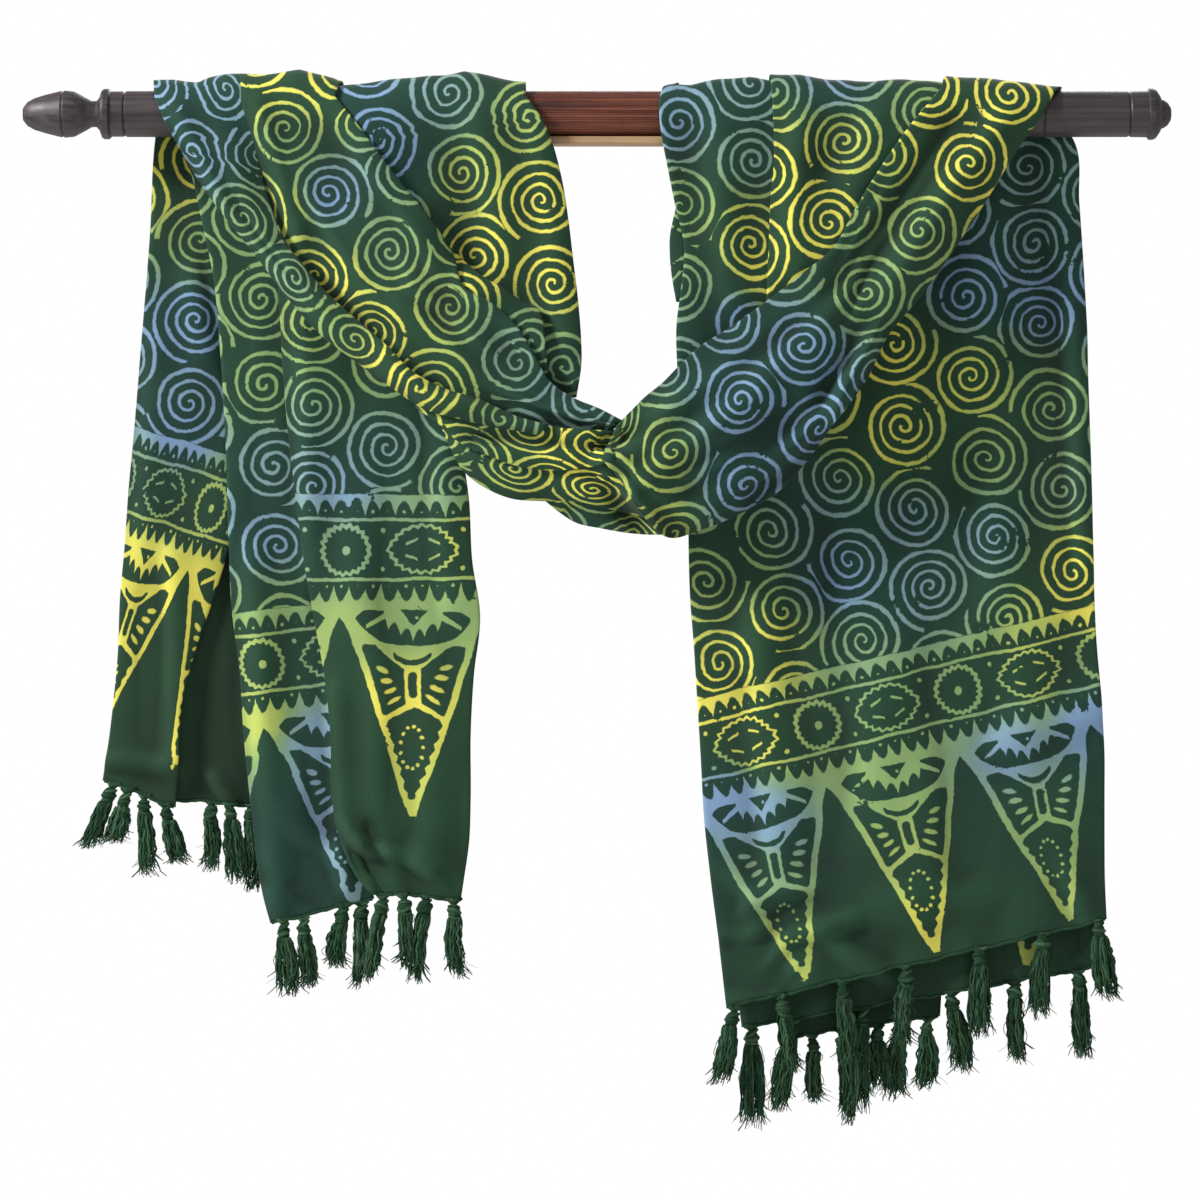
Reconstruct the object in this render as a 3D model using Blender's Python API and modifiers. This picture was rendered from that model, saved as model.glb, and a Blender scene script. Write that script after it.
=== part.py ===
"""A sarong of printed cloth, folded lengthwise and hung over a turned wooden rod.

The cloth's two tails hang behind the rod, and its middle hangs in front as a swag. Each stretch
that shows is a thin wall drawn through rows of sections. Every length in the tables is in
millimetres: x runs along the rod, z is height over the rod's axis, and depth is how far a
stretch stands in front of the axis, so that a stretch behind the rod has a negative depth.
The origin is on the rod's axis, midway along it.
"""

import math
import random
from typing import NamedTuple

import bmesh
import bpy
import numpy as np
from mathutils import Vector

MM = 0.001
GAP = 0.3
WALL = 1.4

ROD_RADIUS = 14.5
BAR_HALF_LENGTH = 258.0
LEDGE_HEIGHT = 4.8
LEDGE_DEPTH = 20.0
TURNED_STEPS = 18
BAR_CORNERS = 44
REEDED_HALF_HEIGHT = 9.5
GROOVE_DEPTH = 0.5

WRAP_ROWS = 6
BACK_HANG = 10.0
TOP_SHARE = 0.98
EDGE_SHARE = 0.08
FOLD_FADE = 0.3

HEM_STRIP_HEIGHT = 2.4
HEM_STRIP_DEPTH = 1.6
HEM_STRIP_INSET = 1.0
TASSEL_NECK = 2.6
TASSEL_SPREAD = 2.5
TASSEL_THROW = 1.8
STRAND_INSET = 0.35
STRAND_BEND = 1.2
STRAND_UNEVEN = 7.0
STRAND_SEED = 11


class Section(NamedTuple):
    """One row of a stretch: its first edge, its second edge, their depths, and its bulge."""

    x_a: float
    z_a: float
    x_b: float
    z_b: float
    depth_a: float
    depth_b: float
    bulge: float


class Crest(NamedTuple):
    """Height of the cloth's top edge over the rod's axis at one place along the rod."""

    x: float
    height: float


class Fold(NamedTuple):
    """A soft ridge or trough: where it lies across the stretch at its start and end."""

    across_start: float
    across_end: float
    width: float
    height: float
    along_start: float
    along_end: float


class Tassel(NamedTuple):
    """Where a tassel hangs from its hem, and where its lowest strand ends."""

    x: float
    x_end: float
    z_end: float


class Ring(NamedTuple):
    """One cross-section of a tassel's head: how far under the strip, and its half widths."""

    down: float
    half_x: float
    half_y: float


class Turning(NamedTuple):
    """One point of a turned end's outline: distance in from the tip, and radius there."""

    inward: float
    radius: float


# Swag, left half, from the rod to the middle.

OUTER_BAND = [
    Section(-225, 6, -278, 10, 20, 20, 1),
    Section(-219, -13, -271, -7, 20, 20, 2),
    Section(-214, -35, -261, -25, 20, 20, 3),
    Section(-207, -60, -248, -47, 22, 21, 4),
    Section(-199, -81, -230, -71, 26, 24, 5),
    Section(-187, -96, -213, -92, 30, 27, 5),
    Section(-173, -113, -195, -116, 33, 30, 6),
    Section(-156, -129, -173, -140, 36, 33, 6),
    Section(-135, -147, -151, -157, 38, 36, 6),
    Section(-117, -165, -129, -173, 39, 38, 6),
    Section(-96, -176, -107, -187, 40, 39, 6),
    Section(-76, -182, -85, -193, 40, 40, 5),
    Section(-54, -192, -63, -198, 40, 40, 3),
    Section(-33, -198, -37, -202, 40, 40, 1),
]

MAIN_BAND = [
    Section(-167, 9, -224, 6, 21.2, 20, 0),
    Section(-154, -7, -218, -13, 20.5, 20, 1),
    Section(-140, -26, -213, -35, 21, 19, 3),
    Section(-125, -46, -206, -57, 22, 18, 5),
    Section(-107, -68, -196, -80, 23, 18, 6),
    Section(-93, -90, -185, -98, 24, 19, 6),
    Section(-86, -111, -170, -118, 25, 21, 6),
    Section(-69, -121, -154, -135, 26, 23, 5),
    Section(-55, -133, -135, -153, 27, 25, 5),
    Section(-43, -151, -117, -170, 28, 27, 4),
    Section(-33, -169, -93, -181, 29, 28, 4),
    Section(-18, -180, -66, -189, 30, 29, 3),
    Section(-2, -187, -35, -197, 31, 30, 2),
    Section(13, -195, 8, -200, 32, 31, 0),
]

INNER_DROP = [
    Section(-48, 10, -170, 6, 18.5, 17.3, 0),
    Section(-38, -4, -158, -16, 18.5, 17.3, 0),
    Section(-31, -20, -144, -37, 17, 16, 0),
    Section(-25, -43, -127, -59, 16, 14, 1),
    Section(-21, -68, -111, -83, 15, 13, 1),
    Section(-18, -93, -98, -106, 14, 13, 1),
    Section(-15, -118, -85, -127, 14, 13, 1),
    Section(-13, -144, -64, -146, 14, 14, 1),
    Section(-13, -160, -47, -164, 14, 15, 1),
    Section(-16, -179, -33, -181, 15, 16, 0),
]

INNER_FOLD = [
    Section(-97, -84, -101, -89, 20.5, 19.5, 0),
    Section(-76, -103, -91, -111, 20.5, 19.5, 1),
    Section(-61, -112, -79, -123, 21.5, 20.5, 1),
    Section(-49, -120, -69, -133, 21.5, 20.5, 1),
    Section(-39, -125, -60, -146, 21.5, 20.5, 1),
    Section(-35, -146, -52, -155, 21.7, 21.7, 1),
    Section(-34, -165, -41, -168, 22.5, 22.5, 0),
]

# Swag, middle.

UNDER_FOLD = [
    Section(-117, -178, -115, -185, 34, 33.5, 0),
    Section(-101, -182, -98, -197, 35, 34, 1),
    Section(-82, -188, -87, -207, 35.8, 34, 1),
    Section(-63, -193, -69, -215, 35.8, 34, 2),
    Section(-44, -197, -49, -222, 35.8, 35, 2),
    Section(-25, -200, -28, -224, 36.4, 35.5, 2),
    Section(-6, -201, -5, -222, 36.6, 36.5, 1),
    Section(9, -202, 14, -218, 36.8, 36.8, 0),
    Section(25, -203, 28, -215, 36.8, 36.8, 0),
]

LOW_ROLL = [
    Section(-101, -193, -96, -205, 25.5, 22, 0),
    Section(-91, -199, -87, -222, 28.0, 23, 1),
    Section(-77, -207, -76, -232, 29.9, 24, 2),
    Section(-60, -210, -57, -241, 30.8, 25, 3),
    Section(-41, -213, -37, -243, 30.8, 26, 3),
    Section(-22, -215, -18, -243, 30.8, 27, 3),
    Section(-3, -215, 1, -247, 30.8, 28, 3),
    Section(13, -215, 19, -251, 30.8, 29, 2),
    Section(28, -218, 34, -255, 30.8, 30, 1),
]

LOWEST_ROLL = [
    Section(-45, -224, -41, -237, 18, 17, 0),
    Section(-35, -224, -28, -248, 28.2, 17, 0),
    Section(-22, -224, -16, -256, 31, 17, 0),
    Section(-5, -224, 1, -260, 30.9, 18, 0),
    Section(13, -224, 19, -263, 27, 19, 1),
    Section(28, -227, 36, -264, 22, 22, 1),
    Section(43, -231, 50, -263, 22, 23, 0),
]

# Swag, right half, from the rod to the middle.

RIGHT_BAND = [
    Section(215, 15, 277, 0, 24, 20, 1),
    Section(208, 6, 260, -24, 24, 20, 2),
    Section(197, -7, 241, -55, 25, 22, 3),
    Section(185, -23, 220, -87, 26, 24, 3),
    Section(171, -44, 200, -115, 27, 25, 4),
    Section(159, -64, 180, -139, 28, 26, 5),
    Section(146, -87, 165, -169, 30, 27, 6),
    Section(126, -104, 146, -194, 32, 28, 7),
    Section(104, -121, 129, -218, 34, 28, 8),
    Section(82, -137, 110, -238, 36, 28, 9),
    Section(63, -149, 87, -251, 37, 28, 10),
    Section(49, -162, 63, -261, 38, 30, 9),
    Section(38, -173, 40, -265, 39, 33, 8),
    Section(28, -181, 26, -251, 40, 36, 6),
    Section(20, -189, 14, -232, 41, 39, 4),
    Section(10, -199, 1, -217, 42, 41, 1),
]

RIGHT_INNER_DROP = [
    Section(38, 6, 118, 6, 17.5, 17.3, 0),
    Section(39, -10, 118, -10, 17.3, 17.3, 0),
    Section(43, -32, 118, -32, 17, 16, 1),
    Section(48, -57, 117, -57, 17, 15, 1),
    Section(54, -86, 115, -86, 17, 15, 1),
    Section(52, -111, 114, -110, 17, 15, 1),
    Section(49, -136, 113, -129, 17, 16, 1),
    Section(50, -171, 110, -142, 18, 18, 0),
]

RIGHT_OUTER_DROP = [
    Section(109, 6, 217, 6, 20.1, 20, 0),
    Section(110, -13, 205, -13, 20.0, 20, 1),
    Section(110, -32, 192, -32, 20.0, 20, 1),
    Section(108, -54, 178, -54, 20.0, 20, 1),
    Section(107, -79, 164, -79, 20.0, 20.5, 1),
    Section(106, -101, 148, -101, 20.2, 21, 1),
    Section(105, -120, 126, -120, 21, 21, 0),
    Section(103, -131, 111, -132, 21, 21, 0),
]

RIGHT_EDGE_FOLD = [
    Section(49, -59, 57, -59, 13, 13, 0),
    Section(45, -79, 59, -79, 13, 13, 1),
    Section(45, -89, 61, -89, 13, 13, 1),
    Section(46, -101, 60, -101, 13, 13, 1),
    Section(49, -119, 57, -120, 13, 13, 0),
]

# Back ply of the swag, in two halves.

BACK_LEFT = [
    Section(-35, -24, -220, -24, 8, 8, 0),
    Section(-28, -54, -198, -64, 9.5, 9.5, 0),
    Section(-22, -92, -176, -98, 10, 10, 0),
    Section(-19, -123, -148, -133, 10, 10, 0),
    Section(-19, -155, -117, -164, 10.5, 10, 0),
    Section(-20, -179, -88, -196, 10, 10, 0),
    Section(-9, -192, -66, -219, 11, 11, 0),
    Section(3, -198, -38, -234, 12, 12, 0),
    Section(15, -202, -6, -249, 12, 12, 0),
    Section(30, -202, 25, -254, 12, 12, 0),
]

BACK_RIGHT = [
    Section(30.5, -202, 25.5, -254, 12, 12, 0),
    Section(47, -177, 64, -252, 12, 12, 0),
    Section(59, -155, 92, -236, 11, 12, 0),
    Section(65, -130, 123, -208, 10, 11, 0),
    Section(68, -98, 155, -158, 9, 10, 0),
    Section(68, -64, 188, -102, 8, 9, 0),
    Section(68, -24, 238, -32, 8, 8, 0),
]

# Left tail, three panels side by side and the ply behind the outer one.

TAIL_LEFT_OUTER = [
    Section(-279, 0, -230, 0, -19.1, -19.1, 0),
    Section(-281, -16, -229, -16, -19.4, -19.4, 0),
    Section(-284, -73, -228, -73, -20.5, -21, 1),
    Section(-288, -123, -227, -123, -21, -22, 1),
    Section(-294, -195, -227, -195, -20, -22, 1),
    Section(-298, -239, -229, -241, -19, -22, 1),
    Section(-300, -270, -236, -271, -18, -21, 1),
    Section(-303, -306, -247, -307, -18, -20, 1),
    Section(-304, -338, -258, -339, -17, -19, 1),
    Section(-307, -371, -266, -373, -17, -18, 1),
    Section(-311, -403, -268, -408, -16, -18, 1),
    Section(-314, -420, -270, -437, -16, -18, 1),
]

TAIL_LEFT_OUTER_BACK = [
    Section(-277, 0, -227, 0, -20.9, -20.9, 0),
    Section(-277, -16, -227, -16, -21.2, -21.2, 0),
    Section(-277, -86, -224, -86, -24, -24, 0),
    Section(-277, -180, -224, -180, -26, -26, 1),
    Section(-274, -306, -220, -306, -26, -26, 1),
    Section(-277, -369, -216, -369, -25, -26, 1),
    Section(-284, -432, -213, -437, -24, -25, 1),
]

TAIL_LEFT_MIDDLE = [
    Section(-258, 0, -189, 0, -17.3, -17.3, 0),
    Section(-260, -16, -189, -16, -17.5, -17.5, 0),
    Section(-253, -57, -188, -57, -17.8, -18.3, 0),
    Section(-244, -101, -186, -101, -18, -19.5, 1),
    Section(-239, -155, -185, -155, -17, -19.5, 1),
    Section(-236, -205, -183, -205, -17, -19.5, 1),
    Section(-234, -267, -175, -267, -16, -19, 1),
    Section(-232, -312, -168, -312, -15, -18, 1),
    Section(-227, -350, -162, -350, -14, -18, 1),
    Section(-224, -394, -158, -394, -13, -17, 2),
    Section(-219, -442, -156, -440, -12, -17, 2),
    Section(-214, -483, -150, -474, -11, -16, 2),
    Section(-207, -510, -144, -495, -11, -16, 2),
]

TAIL_LEFT_INNER = [
    Section(-205, 0, -72, 0, -15.5, -15.5, 0),
    Section(-205, -16, -76, -16, -15.5, -15.5, 0),
    Section(-202, -117, -88, -117, -15, -15, 1),
    Section(-197, -193, -91, -193, -14, -14, 1),
    Section(-191, -243, -84, -243, -13, -13, 1),
    Section(-186, -281, -82, -281, -12, -12, 2),
    Section(-180, -316, -77, -316, -11, -12, 2),
    Section(-173, -354, -81, -354, -10, -11, 2),
    Section(-169, -391, -83, -391, -9, -11, 2),
    Section(-168, -432, -83, -432, -8, -10, 2),
    Section(-163, -457, -84, -459, -8, -10, 2),
    Section(-154, -478, -87, -481, -8, -10, 2),
    Section(-144, -491, -89, -495, -8, -10, 1),
]

# Right tail, three plies that lie on each other.

TAIL_RIGHT_FRONT = [
    Section(57, 0, 289, 0, -15.5, -15.5, 0),
    Section(57, -16, 299, -16, -15.5, -15.5, 0),
    Section(57, -54, 302, -54, -15.5, -15.5, 0),
    Section(57, -117, 306, -117, -15, -16, 1),
    Section(57, -180, 308, -180, -15, -15, 1),
    Section(57, -243, 310, -240, -14, -15, 1),
    Section(58, -299, 311, -281, -13, -14, 2),
    Section(61, -341, 313, -331, -12, -14, 2),
    Section(63, -374, 316, -369, -11, -13, 2),
    Section(65, -407, 318, -401, -10, -13, 2),
    Section(67, -444, 318, -429, -9, -12, 2),
    Section(71, -481, 318, -455, -9, -12, 2),
    Section(76, -520, 318, -481, -8, -11, 2),
    Section(81, -563, 319, -508, -8, -11, 2),
]

TAIL_RIGHT_MIDDLE = [
    Section(60, 0, 285, 0, -17.3, -17.3, 0),
    Section(60, -16, 292, -16, -17.4, -17.4, 0),
    Section(60, -117, 301, -117, -19.5, -19.5, 0),
    Section(60, -243, 306, -243, -20, -20, 0),
    Section(66, -344, 309, -338, -20, -20, 0),
    Section(73, -432, 312, -420, -19, -20, 1),
    Section(82, -508, 312, -483, -18, -19, 1),
    Section(91, -577, 312, -539, -18, -18, 1),
]

TAIL_RIGHT_BACK = [
    Section(69, 0, 252, 0, -19.1, -19.1, 0),
    Section(69, -16, 250, -16, -19.4, -19.4, 0),
    Section(71, -117, 243, -117, -24, -24, 0),
    Section(77, -243, 233, -243, -25, -25, 0),
    Section(85, -344, 227, -341, -26, -26, 0),
    Section(96, -432, 220, -429, -26, -26, 0),
    Section(107, -514, 218, -508, -26, -26, 1),
    Section(120, -584, 215, -570, -26, -26, 1),
]

# Top edge of the stretches that pass over the rod.

OUTER_BAND_CRESTS = [
    Crest(-280, 21), Crest(-268, 21.7), Crest(-253, 19), Crest(-247, 22), Crest(-236, 25), Crest(-227, 25),
]
MAIN_BAND_CRESTS = [
    Crest(-226, 25), Crest(-215, 24.5), Crest(-200, 26), Crest(-189, 27.4), Crest(-174, 24),
    Crest(-163, 20.5),
]
INNER_DROP_CRESTS = [
    Crest(-178, 17.3), Crest(-163, 17.4), Crest(-152, 19), Crest(-126, 22), Crest(-98, 24),
    Crest(-86, 27), Crest(-70, 24), Crest(-54, 20), Crest(-48, 19.5),
]
RIGHT_INNER_DROP_CRESTS = [
    Crest(42, 17.8), Crest(46, 19), Crest(58, 18), Crest(75, 21.5), Crest(95, 23), Crest(108, 21),
    Crest(118, 19),
]
RIGHT_OUTER_DROP_CRESTS = [
    Crest(108, 25), Crest(126, 24), Crest(145, 21), Crest(170, 20.5), Crest(192, 21.4),
    Crest(210, 20), Crest(226, 18.5),
]
RIGHT_BAND_CRESTS = [
    Crest(219, 23.5), Crest(226, 23.3), Crest(250, 21.5), Crest(272, 18.5), Crest(290, 17.2),
]

# Largest folds of each stretch.

OUTER_BAND_FOLDS = [Fold(0.55, 0.5, 0.12, -2.0, 0.1, 0.5)]
MAIN_BAND_FOLDS = [
    Fold(0.88, 0.8, 0.12, -6.0, 0.2, 0.75),
    Fold(0.35, 0.3, 0.12, 2.0, 0.15, 0.8),
    Fold(0.6, 0.5, 0.1, 2.5, 0.45, 0.95),
]
INNER_DROP_FOLDS = [
    Fold(0.3, 0.2, 0.1, 1.6, 0.1, 0.9),
    Fold(0.6, 0.45, 0.1, -1.6, 0.1, 0.8),
]
RIGHT_BAND_FOLDS = [
    Fold(0.3, 0.35, 0.1, 2.5, 0.3, 0.95),
    Fold(0.75, 0.7, 0.1, -3.0, 0.35, 0.9),
    Fold(0.55, 0.55, 0.08, -2.5, 0.7, 1.0),
]
RIGHT_INNER_DROP_FOLDS = [Fold(0.3, 0.45, 0.12, 1.2, 0.1, 0.9)]
RIGHT_OUTER_DROP_FOLDS = [Fold(0.5, 0.4, 0.12, 1.0, 0.1, 0.9)]
TAIL_LEFT_INNER_FOLDS = [
    Fold(0.3, 0.35, 0.1, 1.4, 0.3, 1.0),
    Fold(0.75, 0.7, 0.12, 1.2, 0.2, 1.0),
]
TAIL_RIGHT_FOLDS = [
    Fold(0.25, 0.22, 0.08, 1.2, 0.3, 1.0),
    Fold(0.5, 0.52, 0.08, 1.0, 0.4, 1.0),
    Fold(0.82, 0.8, 0.06, 1.2, 0.2, 1.0),
]
FLAT: list[Fold] = []

# Tassels of each hem.

TASSELS_LEFT_OUTER = [
    Tassel(-308, -324, -464), Tassel(-299, -309, -461), Tassel(-289, -287, -482),
    Tassel(-276, -266, -474),
]
TASSELS_LEFT_OUTER_BACK = [Tassel(-247, -249, -479), Tassel(-235, -229, -487), Tassel(-222, -221, -492)]
TASSELS_LEFT_MIDDLE = [
    Tassel(-200, -198, -557), Tassel(-188, -183, -552), Tassel(-163, -165, -540),
    Tassel(-151, -153, -553),
]
TASSELS_LEFT_INNER = [
    Tassel(-137, -144, -547), Tassel(-124, -120, -540), Tassel(-110, -116, -549),
    Tassel(-93, -87, -546),
]
TASSELS_RIGHT_FRONT = [
    Tassel(85, 74, -613), Tassel(114, 123, -605), Tassel(153, 158, -600), Tassel(193, 194, -588),
    Tassel(240, 241, -584), Tassel(280, 278, -572), Tassel(314, 322, -560),
]
TASSELS_RIGHT_MIDDLE = [
    Tassel(96, 96, -642), Tassel(123, 112, -631), Tassel(166, 166, -632), Tassel(222, 229, -607),
    Tassel(262, 266, -601), Tassel(303, 307, -597),
]
TASSELS_RIGHT_BACK = [
    Tassel(135, 138, -626), Tassel(154, 156, -640), Tassel(176, 176, -618), Tassel(190, 188, -625),
    Tassel(208, 205, -618),
]

TASSEL_HEAD = [
    Ring(3, 1.3, 1), Ring(5.5, 5, 3.4), Ring(10.5, 4.8, 3.4), Ring(13, 3.2, 2.4), Ring(21, 4.2, 2.8),
]

# Turned ends of the rod.

LEFT_TIP_X = -364.0
RIGHT_TIP_X = 360.0
FINIAL_TURNING = [
    Turning(0, 0), Turning(0.8, 4), Turning(3.5, 7.5), Turning(8, 10), Turning(16, 12.4),
    Turning(25, 14.6), Turning(26, 14.0), Turning(27, 14.8), Turning(33, 14.2), Turning(40, 10.5),
    Turning(44, 8.2), Turning(47, 8.2), Turning(49, 10.5), Turning(50.5, 14.8), Turning(52, 15.8),
    Turning(55, 15.8), Turning(56.5, 14.2), Turning(64, 14.2), Turning(65, 13.4), Turning(66, 14.4),
]
CAP_TURNING = [
    Turning(0, 0), Turning(0.6, 4), Turning(2.5, 7), Turning(5, 8.8), Turning(6.5, 9.2), Turning(7.5, 11.5),
    Turning(10, 15.2), Turning(12, 16.2), Turning(14.5, 16.2), Turning(15.5, 14.6), Turning(26, 14.4),
    Turning(27, 13.6), Turning(28, 14.4), Turning(80, 14.4), Turning(81, 13.7), Turning(82, 14.4),
]


class Finish(NamedTuple):
    """Colour and surface of a material."""

    colour: tuple[float, float, float]
    roughness: float


COTTON_GREEN = Finish((0.016, 0.058, 0.030), 0.85)
FRINGE_GREEN = Finish((0.014, 0.050, 0.028), 0.9)
DARK_WOOD = Finish((0.035, 0.028, 0.029), 0.45)
RED_WOOD = Finish((0.13, 0.035, 0.018), 0.4)
TAN_WOOD = Finish((0.38, 0.26, 0.14), 0.5)


def clear_scene() -> bpy.types.Collection:
    """Removes what is in the scene and returns the collection for the parts."""
    for old in list(bpy.data.objects):
        bpy.data.objects.remove(old, do_unlink=True)
    parts = bpy.data.collections.new("sarong_on_rod")
    bpy.context.scene.collection.children.link(parts)
    return parts


def material(name: str, finish: Finish) -> bpy.types.Material:
    """A Principled material in the finish's colour."""
    made = bpy.data.materials.new(name)
    made.use_nodes = True
    shader = made.node_tree.nodes["Principled BSDF"]
    shader.inputs["Base Color"].default_value = (*finish.colour, 1.0)
    shader.inputs["Roughness"].default_value = finish.roughness
    shader.inputs["Metallic"].default_value = 0.0
    return made


def add_object(
    name: str, mesh: bpy.types.Mesh, finish: Finish, parts: bpy.types.Collection,
) -> bpy.types.Object:
    """Puts a mesh in the parts' collection under its node's name, with its own material."""
    piece = bpy.data.objects.new(name, mesh)
    mesh.materials.append(material(name, finish))
    parts.objects.link(piece)
    return piece


def smooth_rows(rows: list[tuple], count: int) -> np.ndarray:
    """Reads a smooth curve through the rows at evenly spaced places along their middle line."""
    values = np.array(rows, dtype=float)
    middle = np.stack([values[:, 0] + values[:, 2], values[:, 1] + values[:, 3]], axis=1) / 2
    steps = np.linalg.norm(np.diff(middle, axis=0), axis=1)
    places = np.concatenate([[0.0], np.cumsum(steps)])
    slopes = np.gradient(values, places, axis=0)
    wanted = np.linspace(0.0, places[-1], count)
    span = np.clip(np.searchsorted(places, wanted, side="right") - 1, 0, len(places) - 2)
    width = (places[span + 1] - places[span])[:, None]
    t = ((wanted - places[span])[:, None]) / width
    start = (2 * t**3 - 3 * t**2 + 1) * values[span] + (t**3 - 2 * t**2 + t) * width * slopes[span]
    end = (3 * t**2 - 2 * t**3) * values[span + 1] + (t**3 - t**2) * width * slopes[span + 1]
    return start + end


def crest_height(crests: list[Crest], x: np.ndarray) -> np.ndarray:
    """Height of the cloth over the rod's axis at each x."""
    return np.interp(x, [crest.x for crest in crests], [crest.height for crest in crests])


def fold_relief(folds: list[Fold], across: np.ndarray, along: float) -> np.ndarray:
    """How far the folds lift the cloth at one place along a stretch."""
    relief = np.zeros_like(across)
    for fold in folds:
        centre = fold.across_start + (fold.across_end - fold.across_start) * along
        share = (along - fold.along_start) / (fold.along_end - fold.along_start)
        fade = math.sin(math.pi * min(max(share, 0), 1))
        if fold.along_end >= 1.0:
            fade = min(max((along - fold.along_start) / FOLD_FADE, 0), 1)
        relief += fold.height * fade * np.exp(-(((across - centre) / fold.width) ** 2))
    return relief


def across_places(columns: int) -> np.ndarray:
    """Places across a stretch, closer together at its edges, where the cloth turns back."""
    even = np.linspace(0.0, 1.0, columns + 1)
    eased = 0.5 - 0.5 * np.cos(math.pi * even)
    return 0.6 * even + 0.4 * eased


def hanging_grid(
    rows: list[Section], columns: int, count: int, folds: list[Fold], turn: float,
) -> np.ndarray:
    """Points of a stretch that hangs free, as rows of (x, depth, z)."""
    across = across_places(columns)
    track = smooth_rows(rows, count)
    grid = np.zeros((count, columns + 1, 3))
    edge = np.minimum(across, 1 - across)
    for index, (x_a, z_a, x_b, z_b, depth_a, depth_b, bulge) in enumerate(track):
        along = index / (count - 1)
        grid[index, :, 0] = x_a + (x_b - x_a) * across
        grid[index, :, 2] = z_a + (z_b - z_a) * across
        depth = depth_a + (depth_b - depth_a) * across
        depth += max(bulge, 0.0) * 4 * across * (1 - across)
        depth += fold_relief(folds, across, along)
        depth -= turn * np.clip(1 - edge / EDGE_SHARE, 0, 1) ** 2
        grid[index, :, 1] = depth
    return grid


def wrapped_grid(
    rows: list[Section], columns: int, count: int, folds: list[Fold], turn: float,
    crests: list[Crest], back_depth: float,
) -> np.ndarray:
    """Points of a stretch that comes up behind the rod, over its top and down in front."""
    hanging = hanging_grid(rows, columns, count, folds, turn)
    top_a = crests[0].x if rows[0].x_a < rows[0].x_b else crests[-1].x
    top_b = crests[-1].x if rows[0].x_a < rows[0].x_b else crests[0].x
    top_x = top_a + (top_b - top_a) * across_places(columns)
    height = crest_height(crests, top_x)
    for row in hanging:
        lifted = np.clip(row[:, 2] / height, 0.0, TOP_SHARE)
        row[:, 1] *= np.sqrt(1 - lifted**2)
    first = hanging[0]
    front_depth = first[:, 1] / np.sqrt(1 - np.clip(first[:, 2] / height, 0.0, TOP_SHARE) ** 2)
    last_angle = math.pi - np.arcsin(np.clip(first[:, 2] / height, 0.0, TOP_SHARE))
    wrap = np.zeros((WRAP_ROWS + 1, columns + 1, 3))
    wrap[0, :, 0] = top_x
    wrap[0, :, 1] = -back_depth
    wrap[0, :, 2] = -BACK_HANG
    for step in range(WRAP_ROWS):
        angle = last_angle * step / WRAP_ROWS
        forward = np.clip((angle - math.pi / 2) / (last_angle - math.pi / 2), 0.0, 1.0)
        reach = np.where(angle < math.pi / 2, back_depth, front_depth)
        wrap[step + 1, :, 0] = top_x + (first[:, 0] - top_x) * forward
        wrap[step + 1, :, 1] = -reach * np.cos(angle)
        wrap[step + 1, :, 2] = height * np.sin(angle)
    return np.concatenate([wrap, hanging])


def grid_mesh(name: str, grid: np.ndarray) -> bpy.types.Mesh:
    """An open sheet of quads through a grid of (x, depth, z) points."""
    count, width = grid.shape[:2]
    points = [(x * MM, -depth * MM, z * MM) for row in grid for x, depth, z in row]
    faces = []
    for i in range(count - 1):
        for j in range(width - 1):
            corner = i * width + j
            faces.append((corner, corner + 1, corner + width + 1, corner + width))
    mesh = bpy.data.meshes.new(name)
    mesh.from_pydata(points, [], faces)
    mesh.update()
    return mesh


def add_sheet(name: str, grid: np.ndarray, parts: bpy.types.Collection) -> bpy.types.Object:
    """A stretch of cloth: a wall of even thickness on both sides of its grid."""
    mesh = grid_mesh(name, grid)
    mesh.shade_smooth()
    sheet = add_object(name, mesh, COTTON_GREEN, parts)
    wall = sheet.modifiers.new("wall", "SOLIDIFY")
    wall.thickness = WALL * MM
    wall.offset = 0.0
    return sheet


def hem_point(grid: np.ndarray, x: float) -> Vector:
    """The place on a grid's last row that has this x, as (x, y, z) in millimetres."""
    row = grid[-1]
    order = np.argsort(row[:, 0])
    depth = np.interp(x, row[order, 0], row[order, 1])
    height = np.interp(x, row[order, 0], row[order, 2])
    return Vector((x, -depth, height))


def strip_stops(grid: np.ndarray, tassels: list[Tassel]) -> list[float]:
    """Places along the hem where its strip has a section: its ends and both sides of each tassel."""
    row = grid[-1][:, 0]
    low, high = float(row.min()) + HEM_STRIP_INSET, float(row.max()) - HEM_STRIP_INSET
    stops = [low, high]
    for tassel in tassels:
        centre = min(max(tassel.x, low + TASSEL_NECK), high - TASSEL_NECK)
        stops += [centre - TASSEL_NECK / 2, centre + TASSEL_NECK / 2]
    return sorted(stops)


def extrude_face(
    shape: bmesh.types.BMesh, face: bmesh.types.BMFace, centre: Vector, half: Vector,
) -> bmesh.types.BMFace:
    """Grows a four-cornered face to a new place, its corners at half widths round the centre."""
    middle = face.calc_center_median()
    new = bmesh.ops.extrude_discrete_faces(shape, faces=[face])["faces"][0]
    for vertex in new.verts:
        offset = vertex.co - middle
        vertex.co = centre + Vector((
            math.copysign(half.x, offset.x), math.copysign(half.y, offset.y), 0.0,
        ))
    return new


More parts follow.
